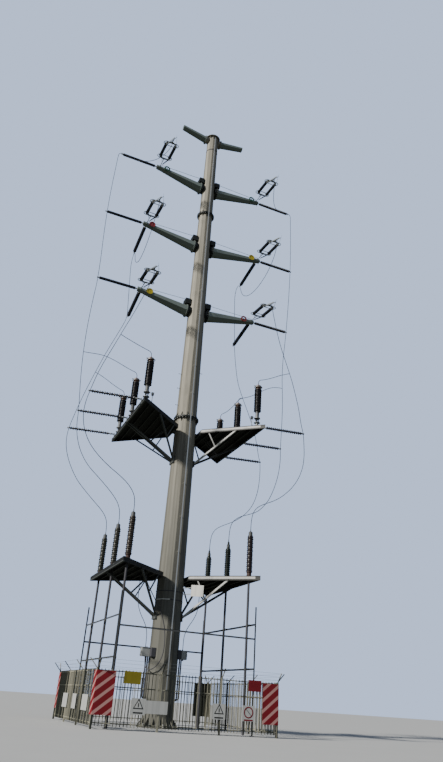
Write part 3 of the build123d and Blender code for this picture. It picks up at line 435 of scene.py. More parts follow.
def bumped(tree, shader, height, strength, distance=0.002):
    bump = tree.nodes.new("ShaderNodeBump")
    bump.inputs["Strength"].default_value = strength
    bump.inputs["Distance"].default_value = distance
    tree.links.new(height, bump.inputs["Height"])
    tree.links.new(bump.outputs[0], shader.inputs["Normal"])


def coated(tree, shader, body, group, metallic=0.0, strength=0.0):
    """Gives the shader a colour, with a group's roughness and, for a strength, its relief."""
    tree.links.new(body, shader.inputs["Base Color"])
    tree.links.new(group.outputs["Roughness"], shader.inputs["Roughness"])
    shader.inputs["Metallic"].default_value = metallic
    if strength:
        bumped(tree, shader, group.outputs["Height"], strength)


# Finishes, each called with the material's name in place of its tree and shader
def made_once(build):
    """Gives the material of a name, and builds it the first time."""
    def give(name, *values):
        made = bpy.data.materials.get(name)
        if made is None:
            made = bpy.data.materials.new(name)
            made.use_nodes = True
            build(made.node_tree, made.node_tree.nodes["Principled BSDF"], *values)
        return made

    return give


@made_once
def metal(tree, shader, base, stain, streaks, blotches, speckle, metallic=0.35, strength=0.25):
    """Weathered steel or paint on steel."""
    group = weathered(tree, solid(base), stain, streaks, blotches, speckle)
    coated(tree, shader, group.outputs["Color"], group, metallic, strength)


@made_once
def dusty(tree, shader, base, dust, amount):
    """Polymer, glaze or sheath under pale dust."""
    group = group_node(tree, dust_group(), Base=solid(base), Dust=solid(dust), Amount=amount)
    coated(tree, shader, group.outputs["Color"], group)
    bumped(tree, shader, noise(tree, (1, 1, 1), 90.0, 2.0), 0.15)


@made_once
def pole_zinc(tree, shader, colours):
    """Streaked zinc, darker and greener towards the foot, partly as painted shade under the
    platforms, with painted shade on the seats at the arms.
    """
    x, y, height = axes_of(tree, object_place(tree))
    # Darker and greener below 14.5 m: partly the zinc's own tone, partly painted shade under the
    # platforms
    rise = ramp_between(tree, height, 5.0, 14.5)
    base = mixed(tree, rise, solid(POLE_FOOT_TONE_AND_SHADE), solid(colours.pole_steel))
    # Whatever stands out from the pole's wall between the seat heights is painted dark as shade
    across = maths(tree, "SQRT", maths(tree, "ADD", times(tree, x, x), times(tree, y, y)))
    taper = (POLE_TOP - POLE_BASE) / 2 / POLE_HEIGHT
    wall = maths(tree, "ADD", times(tree, height, taper), POLE_BASE / 2 + 0.025)
    lowest, highest = SEAT_SHADE_HEIGHTS
    seat_shade = times(
        tree, over(tree, across, wall), over(tree, height, lowest), under(tree, height, highest)
    )
    group = weathered(tree, base, colours.pole_stain, 0.65, 0.3, 0.2)
    body = mixed(tree, seat_shade, group.outputs["Color"], solid(SEAT_SHADE_TINT))
    coated(tree, shader, body, group, 0.15, 0.3)


@made_once
def grating(tree, shader, colours):
    """Open steel grating, drawn as dark squares between bearing bars."""
    x, y, _ = axes_of(tree, object_place(tree))
    bars = [
        under(tree, maths(tree, "FRACT", maths(tree, "DIVIDE", axis, pitch)), 0.3)
        for axis, pitch in ((x, 0.05), (y, 0.04))
    ]
    bar = maths(tree, "MAXIMUM", *bars)
    steel = solid(colours.frame_steel, 0.45)
    group = weathered(tree, steel, (0.022, 0.022, 0.017), 0.0, 0.6, 0.3)
    body = mixed(tree, bar, solid(GRATING_GAP_TINT), group.outputs["Color"])
    tree.links.new(body, shader.inputs["Base Color"])
    shader.inputs["Roughness"].default_value = 0.7
    bumped(tree, shader, bar, 0.6, 0.01)


@made_once
def stripes(tree, shader, colours):
    """Slanting pale stripes on dark red."""
    bands = group_node(tree, stripe_group(), Pitch=0.385, Share=0.35)
    group = weathered(tree, solid(colours.stripe_red), (0.09, 0.006, 0.010), 0.3, 0.4, 0.2)
    body = mixed(tree, bands.outputs["Mask"], group.outputs["Color"], solid(STRIPE_PALE_TINT))
    coated(tree, shader, body, group)


@made_once
def lead_strands(tree, shader):
    """Stranded wire, dulled."""
    share = ramp_between(tree, noise(tree, (1, 1, 1), 40.0, 3.0), 0.35, 0.65)
    body = mixed(tree, share, solid((0.003, 0.004, 0.009)), solid((0.009, 0.011, 0.018)))
    tree.links.new(body, shader.inputs["Base Color"])
    shader.inputs["Roughness"].default_value = 0.8
    bumped(tree, shader, noise(tree, (1, 1, 4), 60.0, 1.0), 0.3)


@made_once
def picket_paint(tree, shader, colours):
    """Dull paint that varies from picket to picket, worn pale on some."""
    worn = ramp_between(tree, noise(tree, (1, 1, 0.04), 3.4, 2.0), 0.47, 0.56)
    body = mixed(tree, worn, solid(colours.fence_paint), solid(WORN_PAINT_TINT))
    group = weathered(tree, body, (0.03, 0.032, 0.025), 0.5, 0.4, 0.3)
    coated(tree, shader, group.outputs["Color"], group)


@made_once
def frame_light_and_shade(tree, shader, colours, side, level):
    """Dark beams and joists with paler braces as painted highlights; on the left the frames are
    painted darker as shade, with a painted highlight line along the outer beam, and on the right
    the near braces and near edge beam are painted lit.
    """
    x, y, height = axes_of(tree, object_place(tree))
    # The braces below the beams are painted paler as a highlight
    brace_highlight = under(tree, height, level - 0.24)
    if side == "left":
        # On the left the frames are painted darker as shade, with a painted highlight line along
        # the outer beam
        edge_highlight = times(tree, under(tree, x, -3.04), under(tree, height, level - 0.15))
        dark, pale = solid(colours.frame_steel, 0.45), solid(colours.frame_steel, 2.6)
    else:
        # On the right the near braces and the near edge beam are painted lit
        edge = maths(tree, "ADD", times(tree, x, NEAR_EDGE[0]), times(tree, y, NEAR_EDGE[1]))
        edge_highlight = times(
            tree, under(tree, edge, -0.026), under(tree, x, 2.95), over(tree, height, level - 0.13)
        )
        brace_highlight = times(tree, brace_highlight, under(tree, y, -0.26))
        dark, pale = solid(colours.frame_steel, 0.6), solid(NEAR_EDGE_HIGHLIGHT_TINT)
    body = mixed(tree, maths(tree, "MAXIMUM", brace_highlight, edge_highlight), dark, pale)
    group = weathered(tree, body, (0.04, 0.04, 0.036), 0.2, 0.25, 0.2)
    coated(tree, shader, group.outputs["Color"], group, 0.0, 0.25)


@made_once
def floor_paint(tree, shader):
    """Pale to the light, darker to the camera."""
    pale = (solid((0.56, 0.57, 0.57)), solid((0.60, 0.61, 0.61)))
    body = mixed(tree, noise(tree, (1, 1, 1), 0.6, 3.0), *pale)
    camera_ray = tree.nodes.new("ShaderNodeLightPath").outputs[0]
    body = mixed(tree, camera_ray, solid((0.09, 0.10, 0.08)), body)
    tree.links.new(body, shader.inputs["Base Color"])
    shader.inputs["Roughness"].default_value = 0.9


def zinc(colours):
    return metal("bright_zinc", colours.bright_zinc, (0.20, 0.20, 0.19), 0.3, 0.3, 0.3, 0.6)


def dark_steel(colours):
    return metal("frame_steel", colours.frame_steel, (0.03, 0.035, 0.035), 0.5, 0.4, 0.3)


def grey_steel():
    return metal("grey_steel", (0.10, 0.105, 0.11), (0.03, 0.032, 0.03), 0.4, 0.4, 0.3, 0.2)


def sign_paint(name, rgb):
    return metal(name, rgb, tuple(part * 0.45 for part in rgb), 0.35, 0.3, 0.1, 0.0, 0.1)


def polymer(colours):
    return dusty("polymer_sheds", colours.polymer, (0.07, 0.07, 0.09), 0.4)


def sheath(colours):
    return dusty("cable_sheath", colours.sheath, (0.10, 0.10, 0.10), 0.3)


# Shapes
def facing(direction):
    """Turns +Z to a direction."""
    return Vector(direction).to_track_quat("Z", "Y").to_matrix().to_4x4()


def along(origin, direction):
    """Turns +Z to a direction and moves the origin there."""
    return Matrix.Translation(origin) @ facing(direction)


def circle(count, radius, first=0.0):
    """Points spread evenly on a circle."""
    for i in range(count):
        angle = 2 * math.pi * i / count + first
        yield radius * math.cos(angle), radius * math.sin(angle)


def put(bm, verts, index, place):
    """Paints a new shape and moves it to its place."""
    for vert in verts:
        for face in vert.link_faces:
            face.material_index = index
    bmesh.ops.transform(bm, matrix=place, verts=verts)
    return verts


def block(bm, centre, size, index=0, turn=None):
    verts = bmesh.ops.create_cube(bm, size=1.0)["verts"]
    turn = turn or Matrix.Identity(4)
    return put(bm, verts, index, Matrix.Translation(centre) @ turn @ Matrix.Diagonal((*size, 1.0)))


def strip(bm, start, end, width, depth, index=0):
    start, end = Vector(start), Vector(end)
    size = (width, depth, (end - start).length)
    block(bm, (start + end) / 2, size, index, facing(end - start))


def round_bar(bm, start, end, radius, index=0, sides=12, far_radius=None):
    start, end = Vector(start), Vector(end)
    verts = bmesh.ops.create_cone(
        bm, cap_ends=True, cap_tris=False, segments=sides, radius1=radius,
        radius2=radius if far_radius is None else far_radius, depth=(end - start).length,
    )["verts"]
    put(bm, verts, index, along((start + end) / 2, end - start))


def angle_bar(bm, start, end, towards):
    """An L section: its corner runs from start to end, its legs point two ways."""
    start, end = Vector(start), Vector(end)
    span = end - start
    for leg, other in (towards, towards[::-1]):
        leg, other = Vector(leg), Vector(other)
        size = [
            abs(leg[i]) * ANGLE_LEG + abs(other[i]) * ANGLE_WALL + abs(span[i]) for i in range(3)
        ]
        block(bm, (start + end) / 2 + leg * ANGLE_LEG / 2 + other * ANGLE_WALL / 2, size)


def loop_bar(bm, half, low, high, radius, index=0):
    """A closed round bar in the XZ plane with rounded ends."""
    bend = (high - low) / 2
    arc = [math.pi * i / 6 for i in range(7)]
    points = [(half - bend + bend * math.sin(a), 0.0, low + bend - bend * math.cos(a)) for a in arc]
    points += [(-x, y, z) for x, y, z in reversed(points)]
    for start, end in zip(points, points[1:] + points[:1]):
        round_bar(bm, start, end, radius, index, sides=8)


def spun(bm, profile, steps, index=0, place=None):
    """Spins radius and height pairs round the Z axis, closed where they meet it."""
    before = set(bm.faces)
    verts = [bm.verts.new((radius, 0.0, height)) for radius, height in profile]
    edges = [bm.edges.new(pair) for pair in zip(verts, verts[1:])]
    bmesh.ops.spin(
        bm, geom=verts + edges, cent=(0, 0, 0), axis=(0, 0, 1), angle=2 * math.pi, steps=steps,
        use_merge=True, use_duplicate=False,
    )
    own = list({vert for face in bm.faces if face not in before for vert in face.verts})
    bmesh.ops.remove_doubles(bm, verts=own, dist=1e-5)
    faces = [face for face in bm.faces if face not in before]
    bmesh.ops.recalc_face_normals(bm, faces=faces)
    own = list({vert for face in faces for vert in face.verts})
    put(bm, own, index, place or Matrix.Identity(4))


def hoop(bm, radii, heights, steps, index=0, place=None):
    """A flat ring round the Z axis."""
    (inner, outer), (low, high) = radii, heights
    corners = [(inner, low), (outer, low), (outer, high), (inner, high)]
    spun(bm, corners + corners[:1], steps, index, place)


def stud(bm, side, reach, y, z, radius, index=0, sides=6):
    """A round bar along X between two distances, on one side of the tower."""
    near, far = (side * part for part in reach)
    round_bar(bm, (near, y, z), (far, y, z), radius, index, sides)


def triangle(bm, place, size, index):
    """A thin upright plate with three sides, facing the front."""
    verts = bmesh.ops.create_cone(
        bm, cap_ends=True, segments=3, radius1=size / math.sqrt(3), radius2=size / math.sqrt(3),
        depth=0.003,
    )["verts"]
    put(bm, verts, index, Matrix.Translation(place) @ Matrix.Rotation(math.pi / 2, 4, "X"))


def ring_of(bm, count, radius, z, bolt, height, index=0):
    """Hexagon heads on a circle about the Z axis."""
    for x, y in circle(count, radius, math.pi / count):
        round_bar(bm, (x, y, z), (x, y, z + height), bolt, index, sides=6)


def added(name, data):
    made = bpy.data.objects.new(name, data)
    bpy.context.scene.collection.objects.link(made)
    return made


def mesh_of(name, bm):
    mesh = bpy.data.meshes.new(name)
    bm.to_mesh(mesh)
    bm.free()
    return mesh


def stand(bm, unit, place):
    """Adds a copy of a finished unit at a place."""
    before = len(bm.verts)
    bm.from_mesh(unit)
    bm.verts.ensure_lookup_table()
    bmesh.ops.transform(bm, matrix=place, verts=bm.verts[before:])


def piece(name, bm, finishes, nodes=(), smooth=True):
    mesh = mesh_of(name, bm)
    for finish in finishes:
        mesh.materials.append(finish)
    if smooth:
        mesh.shade_smooth()
        mesh.set_sharp_from_angle(angle=math.radians(35))
    made = added(name, mesh)
    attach(made, "root")
    if nodes:
        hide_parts(*nodes)


def dress(node, finish):
    target = NODES[node]
    target.data.materials.clear()
    target.data.materials.append(finish)


def shed_profile(low, high, core, shed, pitch, narrow=0.86):
    """Radius and height pairs of a shedded body, wide and narrow sheds by turns."""
    count = max(2, round((high - low) / pitch))
    pitch = (high - low) / count
    pairs = [(core, low)]
    for i in range(count):
        edge = shed if i % 2 == 0 else core + (shed - core) * narrow
        foot = low + i * pitch
        pairs += [(core, foot + 0.18 * pitch), (edge, foot + 0.34 * pitch)]
        pairs += [(edge * 0.985, foot + 0.46 * pitch), (core, foot + 0.86 * pitch)]
    return pairs + [(core, high)]


def stack(*steps):
    """Radius and height pairs of a solid, from each radius and the heights it has."""
    pairs = [(radius, height) for radius, *heights in steps for height in heights]
    return [(0.0, pairs[0][1]), *pairs, (0.0, pairs[-1][1])]


def post_unit(name, span, shed, core, pitch):
    """A rod or post with metal ends, standing on the origin."""
    fitting = stack((0.045, 0.0, 0.022), (0.0324, 0.03, 0.052), (0.04275, 0.062, 0.13))
    low, high = fitting[-1][1], span - fitting[-1][1]
    bm = bmesh.new()
    spun(bm, shed_profile(low, high, core, shed, pitch), 18, 0)
    spun(bm, fitting, 14, 1)
    spun(bm, [(radius, span - height) for radius, height in reversed(fitting)], 14, 1)
    return mesh_of(name, bm)


def hang(name, points, width, finish, node):
    """A hanging lead or cable along its route, with its width."""
    curve = bpy.data.curves.new(name, "CURVE")
    curve.dimensions = "3D"
    spline = curve.splines.new("NURBS")
    spline.points.add(len(points) - 1)
    for point, place in zip(spline.points, points):
        point.co = (*place, 1.0)
    spline.order_u = 3
    spline.use_endpoint_u = True
    spline.resolution_u = 8
    curve.bevel_depth = width / 2
    curve.bevel_resolution = 2
    curve.use_fill_caps = True
    curve.materials.append(finish)
    made = added(f"hung_{name}", curve)
    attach(made, "root")
    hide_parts(node)


# Pieces
class TOWER_OT_stage(bpy.types.Operator):
    """Camera, lights, pale floor and pale surroundings."""

    bl_idname = "tower.stage"
    bl_label = "Stage"

    def execute(self, context):
        scene = context.scene
        turn, rise, roll = (math.radians(angle) for angle in CAMERA_ANGLES)
        forward = Vector((
            math.sin(turn) * math.cos(rise), math.cos(turn) * math.cos(rise), math.sin(rise)
        ))
        level = Vector((math.cos(turn), -math.sin(turn), 0.0))
        above = level.cross(forward)
        right = math.cos(roll) * level + math.sin(roll) * above
        up = -math.sin(roll) * level + math.cos(roll) * above
        lens = bpy.data.cameras.new("camera")
        lens.sensor_width = 36.0
        lens.lens = CAMERA_LENS
        lens.clip_end = 1000.0
        camera = added("camera", lens)
        place = Matrix((right, up, -forward)).transposed().to_4x4()
        place.translation = CAMERA_PLACE
        camera.matrix_world = place
        scene.camera = camera

        bm = bmesh.new()
        bmesh.ops.create_grid(bm, x_segments=1, y_segments=1, size=300.0)
        mesh = mesh_of("floor", bm)
        mesh.materials.append(floor_paint("floor_pale"))
        floor = added("floor", mesh)

        for name, aim, energy, spread, tint in (
            ("key", (0.918, 0.25, -0.55), 4.8, 5, (1.0, 0.96, 0.88)),
            ("fill", (-0.35, 0.85, -0.40), 0.22, 60, (0.85, 0.92, 1.0)),
        ):
            lamp = bpy.data.lights.new(name, "SUN")
            lamp.energy = energy
            lamp.angle = math.radians(spread)
            lamp.color = tint
            turn = Vector(aim).to_track_quat("-Z", "Y")
            added(name, lamp).matrix_world = turn.to_matrix().to_4x4()
        world = bpy.data.worlds.new("pale_surroundings")
        world.use_nodes = True
        tree = world.node_tree
        sky = tree.nodes["Background"]
        sky.inputs[0].default_value = (0.55, 0.68, 0.95, 1.0)
        seen = times(tree, tree.nodes.new("ShaderNodeLightPath").outputs[0], 0.95)
        tree.links.new(maths(tree, "ADD", seen, 0.20), sky.inputs[1])
        scene.world = world
        return {"FINISHED"}


class TOWER_OT_leads(bpy.types.Operator):
    """The six long leads, the six branches to the arresters and the cables on the pole."""

    bl_idname = "tower.leads"
    bl_label = "Leads"

    def execute(self, context):
        wire, cover = lead_strands("lead_strands"), sheath(context.scene.tower_colours)
        for name, (span, points) in LEADS.items():
            hang(name, points, LEAD_DIAMETER, wire, name)
        for name, (span, points) in BRANCHES.items():
            node = "arrester_leads_" + name.split("_")[2]
            hang(name, points, LEAD_DIAMETER, wire, node)
        for name, (span, points) in POLE_CABLES.items():
            node = "earth_cable" if name == "earth_cable" else "box_cables"
            width = EARTH_CABLE_DIAMETER if name == "earth_cable" else LEAD_DIAMETER
            hang(name, points, width, cover, node)
        return {"FINISHED"}


class TOWER_OT_pole(bpy.types.Operator):
    """Finish of the pole, with its bolts, bands, steps and climbing rail."""

    bl_idname = "tower.pole"
    bl_label = "Pole"

    def execute(self, context):
        sizes, colours = context.scene.tower_sizes, context.scene.tower_colours
        for node in ("pole_lower_section", "pole_middle_section", "pole_upper_section", "pole_cap"):
            dress(node, pole_zinc("pole_zinc", colours))
        dress("climbing_rail", sign_paint("rail_steel", (0.86, 0.87, 0.80)))

        bm = bmesh.new()
        for z in JOINTS:
            reach = pole_width(z) / 2 + JOINT_LIP * 0.62
            for low, height in ((z + 0.04, 0.03), (z - 0.075, 0.035)):
                ring_of(bm, sizes.flange_bolts, reach, low, sizes.bolt_radius, height)
        piece("pole_joint_bolts", bm, [zinc(colours)])

        bm = bmesh.new()
        bars = ((0.02, 0.17, 0.026, 12), (0.05, 0.092, 0.045, 6), (0.095, 0.125, 0.043, 6))
        for x, y in circle(ANCHORS, ANCHOR_CIRCLE):
            for low, high, radius, sides in bars:
                round_bar(bm, (x, y, low), (x, y, high), radius, 0, sides)
        piece("anchor_nuts", bm, [zinc(colours)])

        bm = bmesh.new()
        # At 5.07 m the band is white on the three facets facing the key light and dark on the rest:
        # painted light and painted shade
        for z, height, lit_facets in ((5.44, 0.035, ()), (5.07, 0.035, (6, 7, 8)), (33.72, 0.07, ())):
            flat = pole_width(z) / 2
            size = (0.012, 2 * (flat + 0.012) * math.tan(math.pi / 12), height)
            for i in range(12):
                turn = Matrix.Rotation(math.pi * i / 6, 4, "Z")
                middle = turn @ Vector((flat + 0.006, 0, z + height / 2))
                block(bm, middle, size, 1 if i in lit_facets else 0, turn)
        finishes = [sheath(colours), sign_paint("band_white", (0.90, 0.90, 0.86))]
        piece("pole_bands", bm, finishes, smooth=False)

        bm = bmesh.new()
        bars = ((0.0, 0.15, 0.011, 8), (0.15, 0.165, 0.022, 8), (0.0, 0.02, 0.024, 6))
        for side, z in ((-1, 16.76), (-1, 15.89), (-1, 14.90), (1, 17.09)):
            wall = pole_width(z) / 2
            for near, far, radius, sides in bars:
                stud(bm, side, (wall + near, wall + far), 0, z, radius, 0, sides)
        piece("step_bolts", bm, [dark_steel(colours)])
        return {"FINISHED"}


class TOWER_OT_arms(bpy.types.Operator):
    """Finish of the arms, with root bolts, phase discs, tip spikes and arm lines."""

    bl_idname = "tower.arms"
    bl_label = "Arms"

    def execute(self, context):
        sizes, colours = context.scene.tower_sizes, context.scene.tower_colours
        steel = metal("arm_steel", colours.arm_steel, (0.028, 0.035, 0.033), 0.2, 0.5, 0.3)
        for node in (*(f"crossarms_{level}" for level in LEVELS), "ground_wire_arms"):
            dress(node, steel)

        bm = bmesh.new()
        roots = [(z, 0.345, ROOT_DROP) for _, z in LEVELS.values()]
        for z, radius, drop in (*roots, (GROUND_ARM_Z, 0.255, 0.35)):
            face = pole_width(z) / 2 + ROOT_GAP
            for side in SIDES.values():
                for y, rise in circle(16, radius, math.pi / 16):
                    stud(bm, side, (face - 0.055, face + 0.055), y, z - drop + rise, 0.022)
        piece("arm_root_bolts", bm, [dark_steel(colours)])

        paints = {
            "green": (0.02, 0.09, 0.055), "red": (0.30, 0.03, 0.04), "yellow": (0.50, 0.40, 0.02),
            "rust": (0.24, 0.03, 0.025),
        }
        phases = {
            "left": (("green", 0.65, True), ("red", 0.52, False), ("yellow", 0.68, False)),
            "right": (("green", 0.53, True), ("yellow", 0.61, False), ("rust", 0.69, True)),
        }
        disc = [
            (0.0, 0.03), (0.135, 0.03), (0.14, 0.045), (0.19, 0.045), (0.19, 0.018), (0.0, 0.018),
            (0.0, 0.03),
        ]
        bm = bmesh.new()
        for name, side in SIDES.items():
            for (reach, z), (paint, inset, hollow) in zip(LEVELS.values(), phases[name]):
                root = pole_width(z) / 2 + ROOT_GAP
                share = (reach - inset - root) / (reach - 0.025 - root)
                half = ROOT_HALF + (TIP_HALF - ROOT_HALF) * share
                spot = Vector((side * (reach - inset), -half, z - ROOT_DROP * (1 - share) + 0.06))
                place, index = along(spot, (0, -1, 0)), list(paints).index(paint)
                if hollow:
                    hoop(bm, (0.10, 0.185), (0.018, 0.05), 24, index, place)
                else:
                    spun(bm, disc, 24, index, place)
                block(bm, spot, (0.05, 0.04, 0.10), index)
        finishes = [sign_paint(f"phase_{name}", rgb) for name, rgb in paints.items()]
        piece("phase_discs", bm, finishes)

        bm = bmesh.new()
        for side in SIDES.values():
            for reach, z in LEVELS.values():
                x = side * (reach - 0.06)
                round_bar(bm, (x, 0, z - 0.13), (x, 0, z - 0.34), 0.012, 0, 8, 0.004)
                start = (side * (pole_width(z) / 2 + 0.26), -0.2, z + 0.12)
                x = side * (reach - 0.2)
                round_bar(bm, start, (x, -0.15, z + 0.10), sizes.wire_radius * 2, 0, sides=6)
                round_bar(bm, (x, -0.15, z), (x, -0.15, z + 0.13), 0.012, 0, sides=8)
        piece("arm_lines", bm, [dark_steel(colours)])
        return {"FINISHED"}


class TOWER_OT_strings(bpy.types.Operator):
    """Strain strings at the arm tips, with their links and yokes."""

    bl_idname = "tower.strings"
    bl_label = "Strain strings"

    def execute(self, context):
        sizes, colours = context.scene.tower_sizes, context.scene.tower_colours
        rod = post_unit("string_rod", 1.42, 0.096, sizes.rod_core * 2.3, sizes.shed_pitch)
        bm = bmesh.new()
        links = stack(
            (0.024, 0.0, 0.05), (0.014, 0.07, 0.18), (0.022, 0.20, 0.32), (0.014, 0.34, 0.48),
            (0.024, 0.50, 0.70),
        )
        spun(bm, links, 12, 1)
        for z, narrow in ((0.775, 0.70), (2.345, 2.42)):
            for vert in block(bm, (0, 0, z), (0.648, 0.016, 0.148), 1):
                if abs(vert.co.z - narrow) < 0.01:
                    vert.co.x *= 0.30
            for x in (-0.28, 0.28):
                round_bar(bm, (x, -0.02, z), (x, 0.02, z), 0.022, 1, sides=8)
        for x in (-0.28, 0.28):
            stand(bm, rod, Matrix.Translation((x, 0, 0.85)))
            for z in (0.98, 2.14):
                shift = Matrix.Translation((x, 0, z))
                hoop(bm, (0.088, 0.105), (-0.011, 0.011), 20, 1, shift)
                strip(bm, (x, -0.03, z), (x, -0.095, z), 0.02, 0.012, 1)
        for low in (0.76, 2.04):
            loop_bar(bm, 0.45, low, low + 0.32, 0.02, 1)
        spun(bm, stack((0.028, 2.42, 2.50), (0.018, 2.52, 2.58), (0.029, 2.60, 2.80)), 12, 1)
        unit = mesh_of("string_unit", bm)
        fall = math.radians(STRING_FALL)
        run, across = Vector((0, -math.cos(fall), -math.sin(fall))), Vector((1, 0, 0))
        turn = Matrix((across, run.cross(across), run)).transposed().to_4x4()
        for level, (reach, z) in LEVELS.items():
            bm = bmesh.new()
            for side in SIDES.values():
                start = (side * (reach - TIP_INSET), -0.169, z)
                stand(bm, unit, Matrix.Translation(start) @ turn)
            piece(
                f"string_fittings_{level}", bm, [polymer(colours), dark_steel(colours)],
                [f"strain_strings_{level}"],
            )
        return {"FINISHED"}


class TOWER_OT_posts(bpy.types.Operator):
    """Post insulators on the arm tips and on the upper platforms' edges."""

    bl_idname = "tower.posts"
    bl_label = "Post insulators"

    def execute(self, context):
        sizes, colours = context.scene.tower_sizes, context.scene.tower_colours
        core, pitch = sizes.rod_core, sizes.shed_pitch
        finishes = [polymer(colours), zinc(colours)]
        long_post = post_unit("lead_post", 2.30, 0.094, core * 2.3, pitch)
        back_post = post_unit("back_post", 2.30, 0.110, core * 2.7, pitch * 1.1)
        fall = math.radians(BACK_POST_FALL)
        for level, (reach, z) in LEVELS.items():
            bm = bmesh.new()
            for side in SIDES.values():
                stand(bm, long_post, along((side * (reach + 0.0002), 0, z), (side, 0, 0)))
                if level != "top":
                    foot = (side * (reach - TIP_INSET), 0.173, z)
                    stand(bm, back_post, along(foot, (0, math.cos(fall), -math.sin(fall))))
            piece(f"post_sheds_{level}", bm, finishes, [f"lead_posts_{level}"])

        short_post = post_unit("deck_post", 2.31, 0.086, core * 1.3, pitch * 1.5)
        tilt = math.radians(DECK_POST_TILT)
        for name, side in SIDES.items():
            bm = bmesh.new()
            way = Vector((side * math.cos(tilt), 0, side * math.sin(tilt)))
            for y in ROWS.values():
                foot = Vector((side * 3.1403, y, UPPER_DECK + 0.065))
                block(bm, foot - Vector((0, 0, 0.09)), (0.02, 0.12, 0.30), 2)
                for z in (foot.z - 0.20, foot.z - 0.14):
                    for offset in (-0.04, 0.04):
                        stud(bm, side, (3.1503, 3.1643), y + offset, z, 0.012, 1)
                for offset in (-0.022, 0.022):
                    start = foot + Vector((0, offset, 0))
                    strip(bm, start, start + way * 0.19, 0.012, 0.058, 2)
                block(bm, foot + way * 0.192, (0.016, 0.09, 0.09), 2)
                stand(bm, short_post, along(foot + way * 0.2, way))
            piece(
                f"deck_post_sheds_{name}", bm, [*finishes, dark_steel(colours)],
                [f"deck_posts_{name}"],
            )
        return {"FINISHED"}


class TOWER_OT_arresters(bpy.types.Operator):
    """Surge arresters on the upper platforms."""

    bl_idname = "tower.arresters"
    bl_label = "Surge arresters"

    def execute(self, context):
        bm = bmesh.new()
        spun(bm, stack((0.109, 0.0, 0.02), (0.075, 0.03, 0.20), (0.109, 0.21, 0.23)), 18, 1)
        plate = [(0.0, 0.0), (0.158, 0.0), (0.158, 0.022), (0.12, 0.039), (0.0, 0.04)]
        for low in (0.23, 0.47):
            spun(bm, plate, 20, 1, Matrix.Translation((0, 0, low)))
        foot = [(0.0, 0.27), *shed_profile(0.27, 0.47, 0.018, 0.034, 0.04), (0.0, 0.47)]
        for x, y in circle(3, 0.072):
            spun(bm, foot, 10, 0, Matrix.Translation((x, y, 0)))
        spun(bm, stack((0.109, 0.51, 0.56), (0.092, 0.58, 0.78), (0.109, 0.80, 0.85)), 20, 2)
        spun(bm, shed_profile(0.85, 2.14, 0.145, 0.188, 0.076), 22, 0)
        cap = stack(
            (0.13, 2.14, 2.16), (0.085, 2.17, 2.21), (0.150, 2.225, 2.33), (0.11, 2.358),
            (0.028, 2.36), (0.022, 2.38, 2.45),
        )
        spun(bm, cap, 18, 3)
        block(bm, (0, 0, 2.30), (0.46, 0.07, 0.014), 3)
        block(bm, (0, 0, 2.28), (0.07, 0.40, 0.014), 3)
        hoop(bm, (0.186, 0.204), (2.23, 2.262), 32, 1)
        for near, far in zip(circle(3, 0.09, 0.4), circle(3, 0.188, 0.4)):
            strip(bm, (*near, 2.25), (*far, 2.25), 0.012, 0.022, 1)
        unit = mesh_of("arrester_unit", bm)
        finishes = [
            dusty("arrester_sheds", (0.012, 0.011, 0.014), (0.06, 0.055, 0.06), 0.4),
            dark_steel(context.scene.tower_colours),
            metal("arrester_base", (0.15, 0.155, 0.16), (0.04, 0.04, 0.04), 0.5, 0.5, 0.2),
            metal("arrester_cap", (0.20, 0.115, 0.085), (0.05, 0.035, 0.03), 0.4, 0.6, 0.3),
        ]
        low, high = UPPER_DECK + 0.48, UPPER_DECK + 0.50
        for name, side in SIDES.items():
            bm = bmesh.new()
            for y in ROWS.values():
                stand(bm, unit, Matrix.Translation((side * ARRESTER_X, y, UPPER_DECK)))
                x = side * (ARRESTER_X - 0.30)
                block(bm, (x, y, UPPER_DECK + 0.46), (0.11, 0.09, 0.15), 2)
                round_bar(bm, (x, y - 0.045, low), (x, y - 0.052, low), 0.03, 1)
                round_bar(bm, (x, y, UPPER_DECK), (x, y, UPPER_DECK + 0.39), 0.014, 1)
                strip(bm, (x, y, high), (side * (ARRESTER_X - 0.14), y, high), 0.03, 0.008, 1)
            piece(
                f"arrester_columns_{name}", bm, finishes,
                [f"surge_arresters_{name}"],
            )
        return {"FINISHED"}


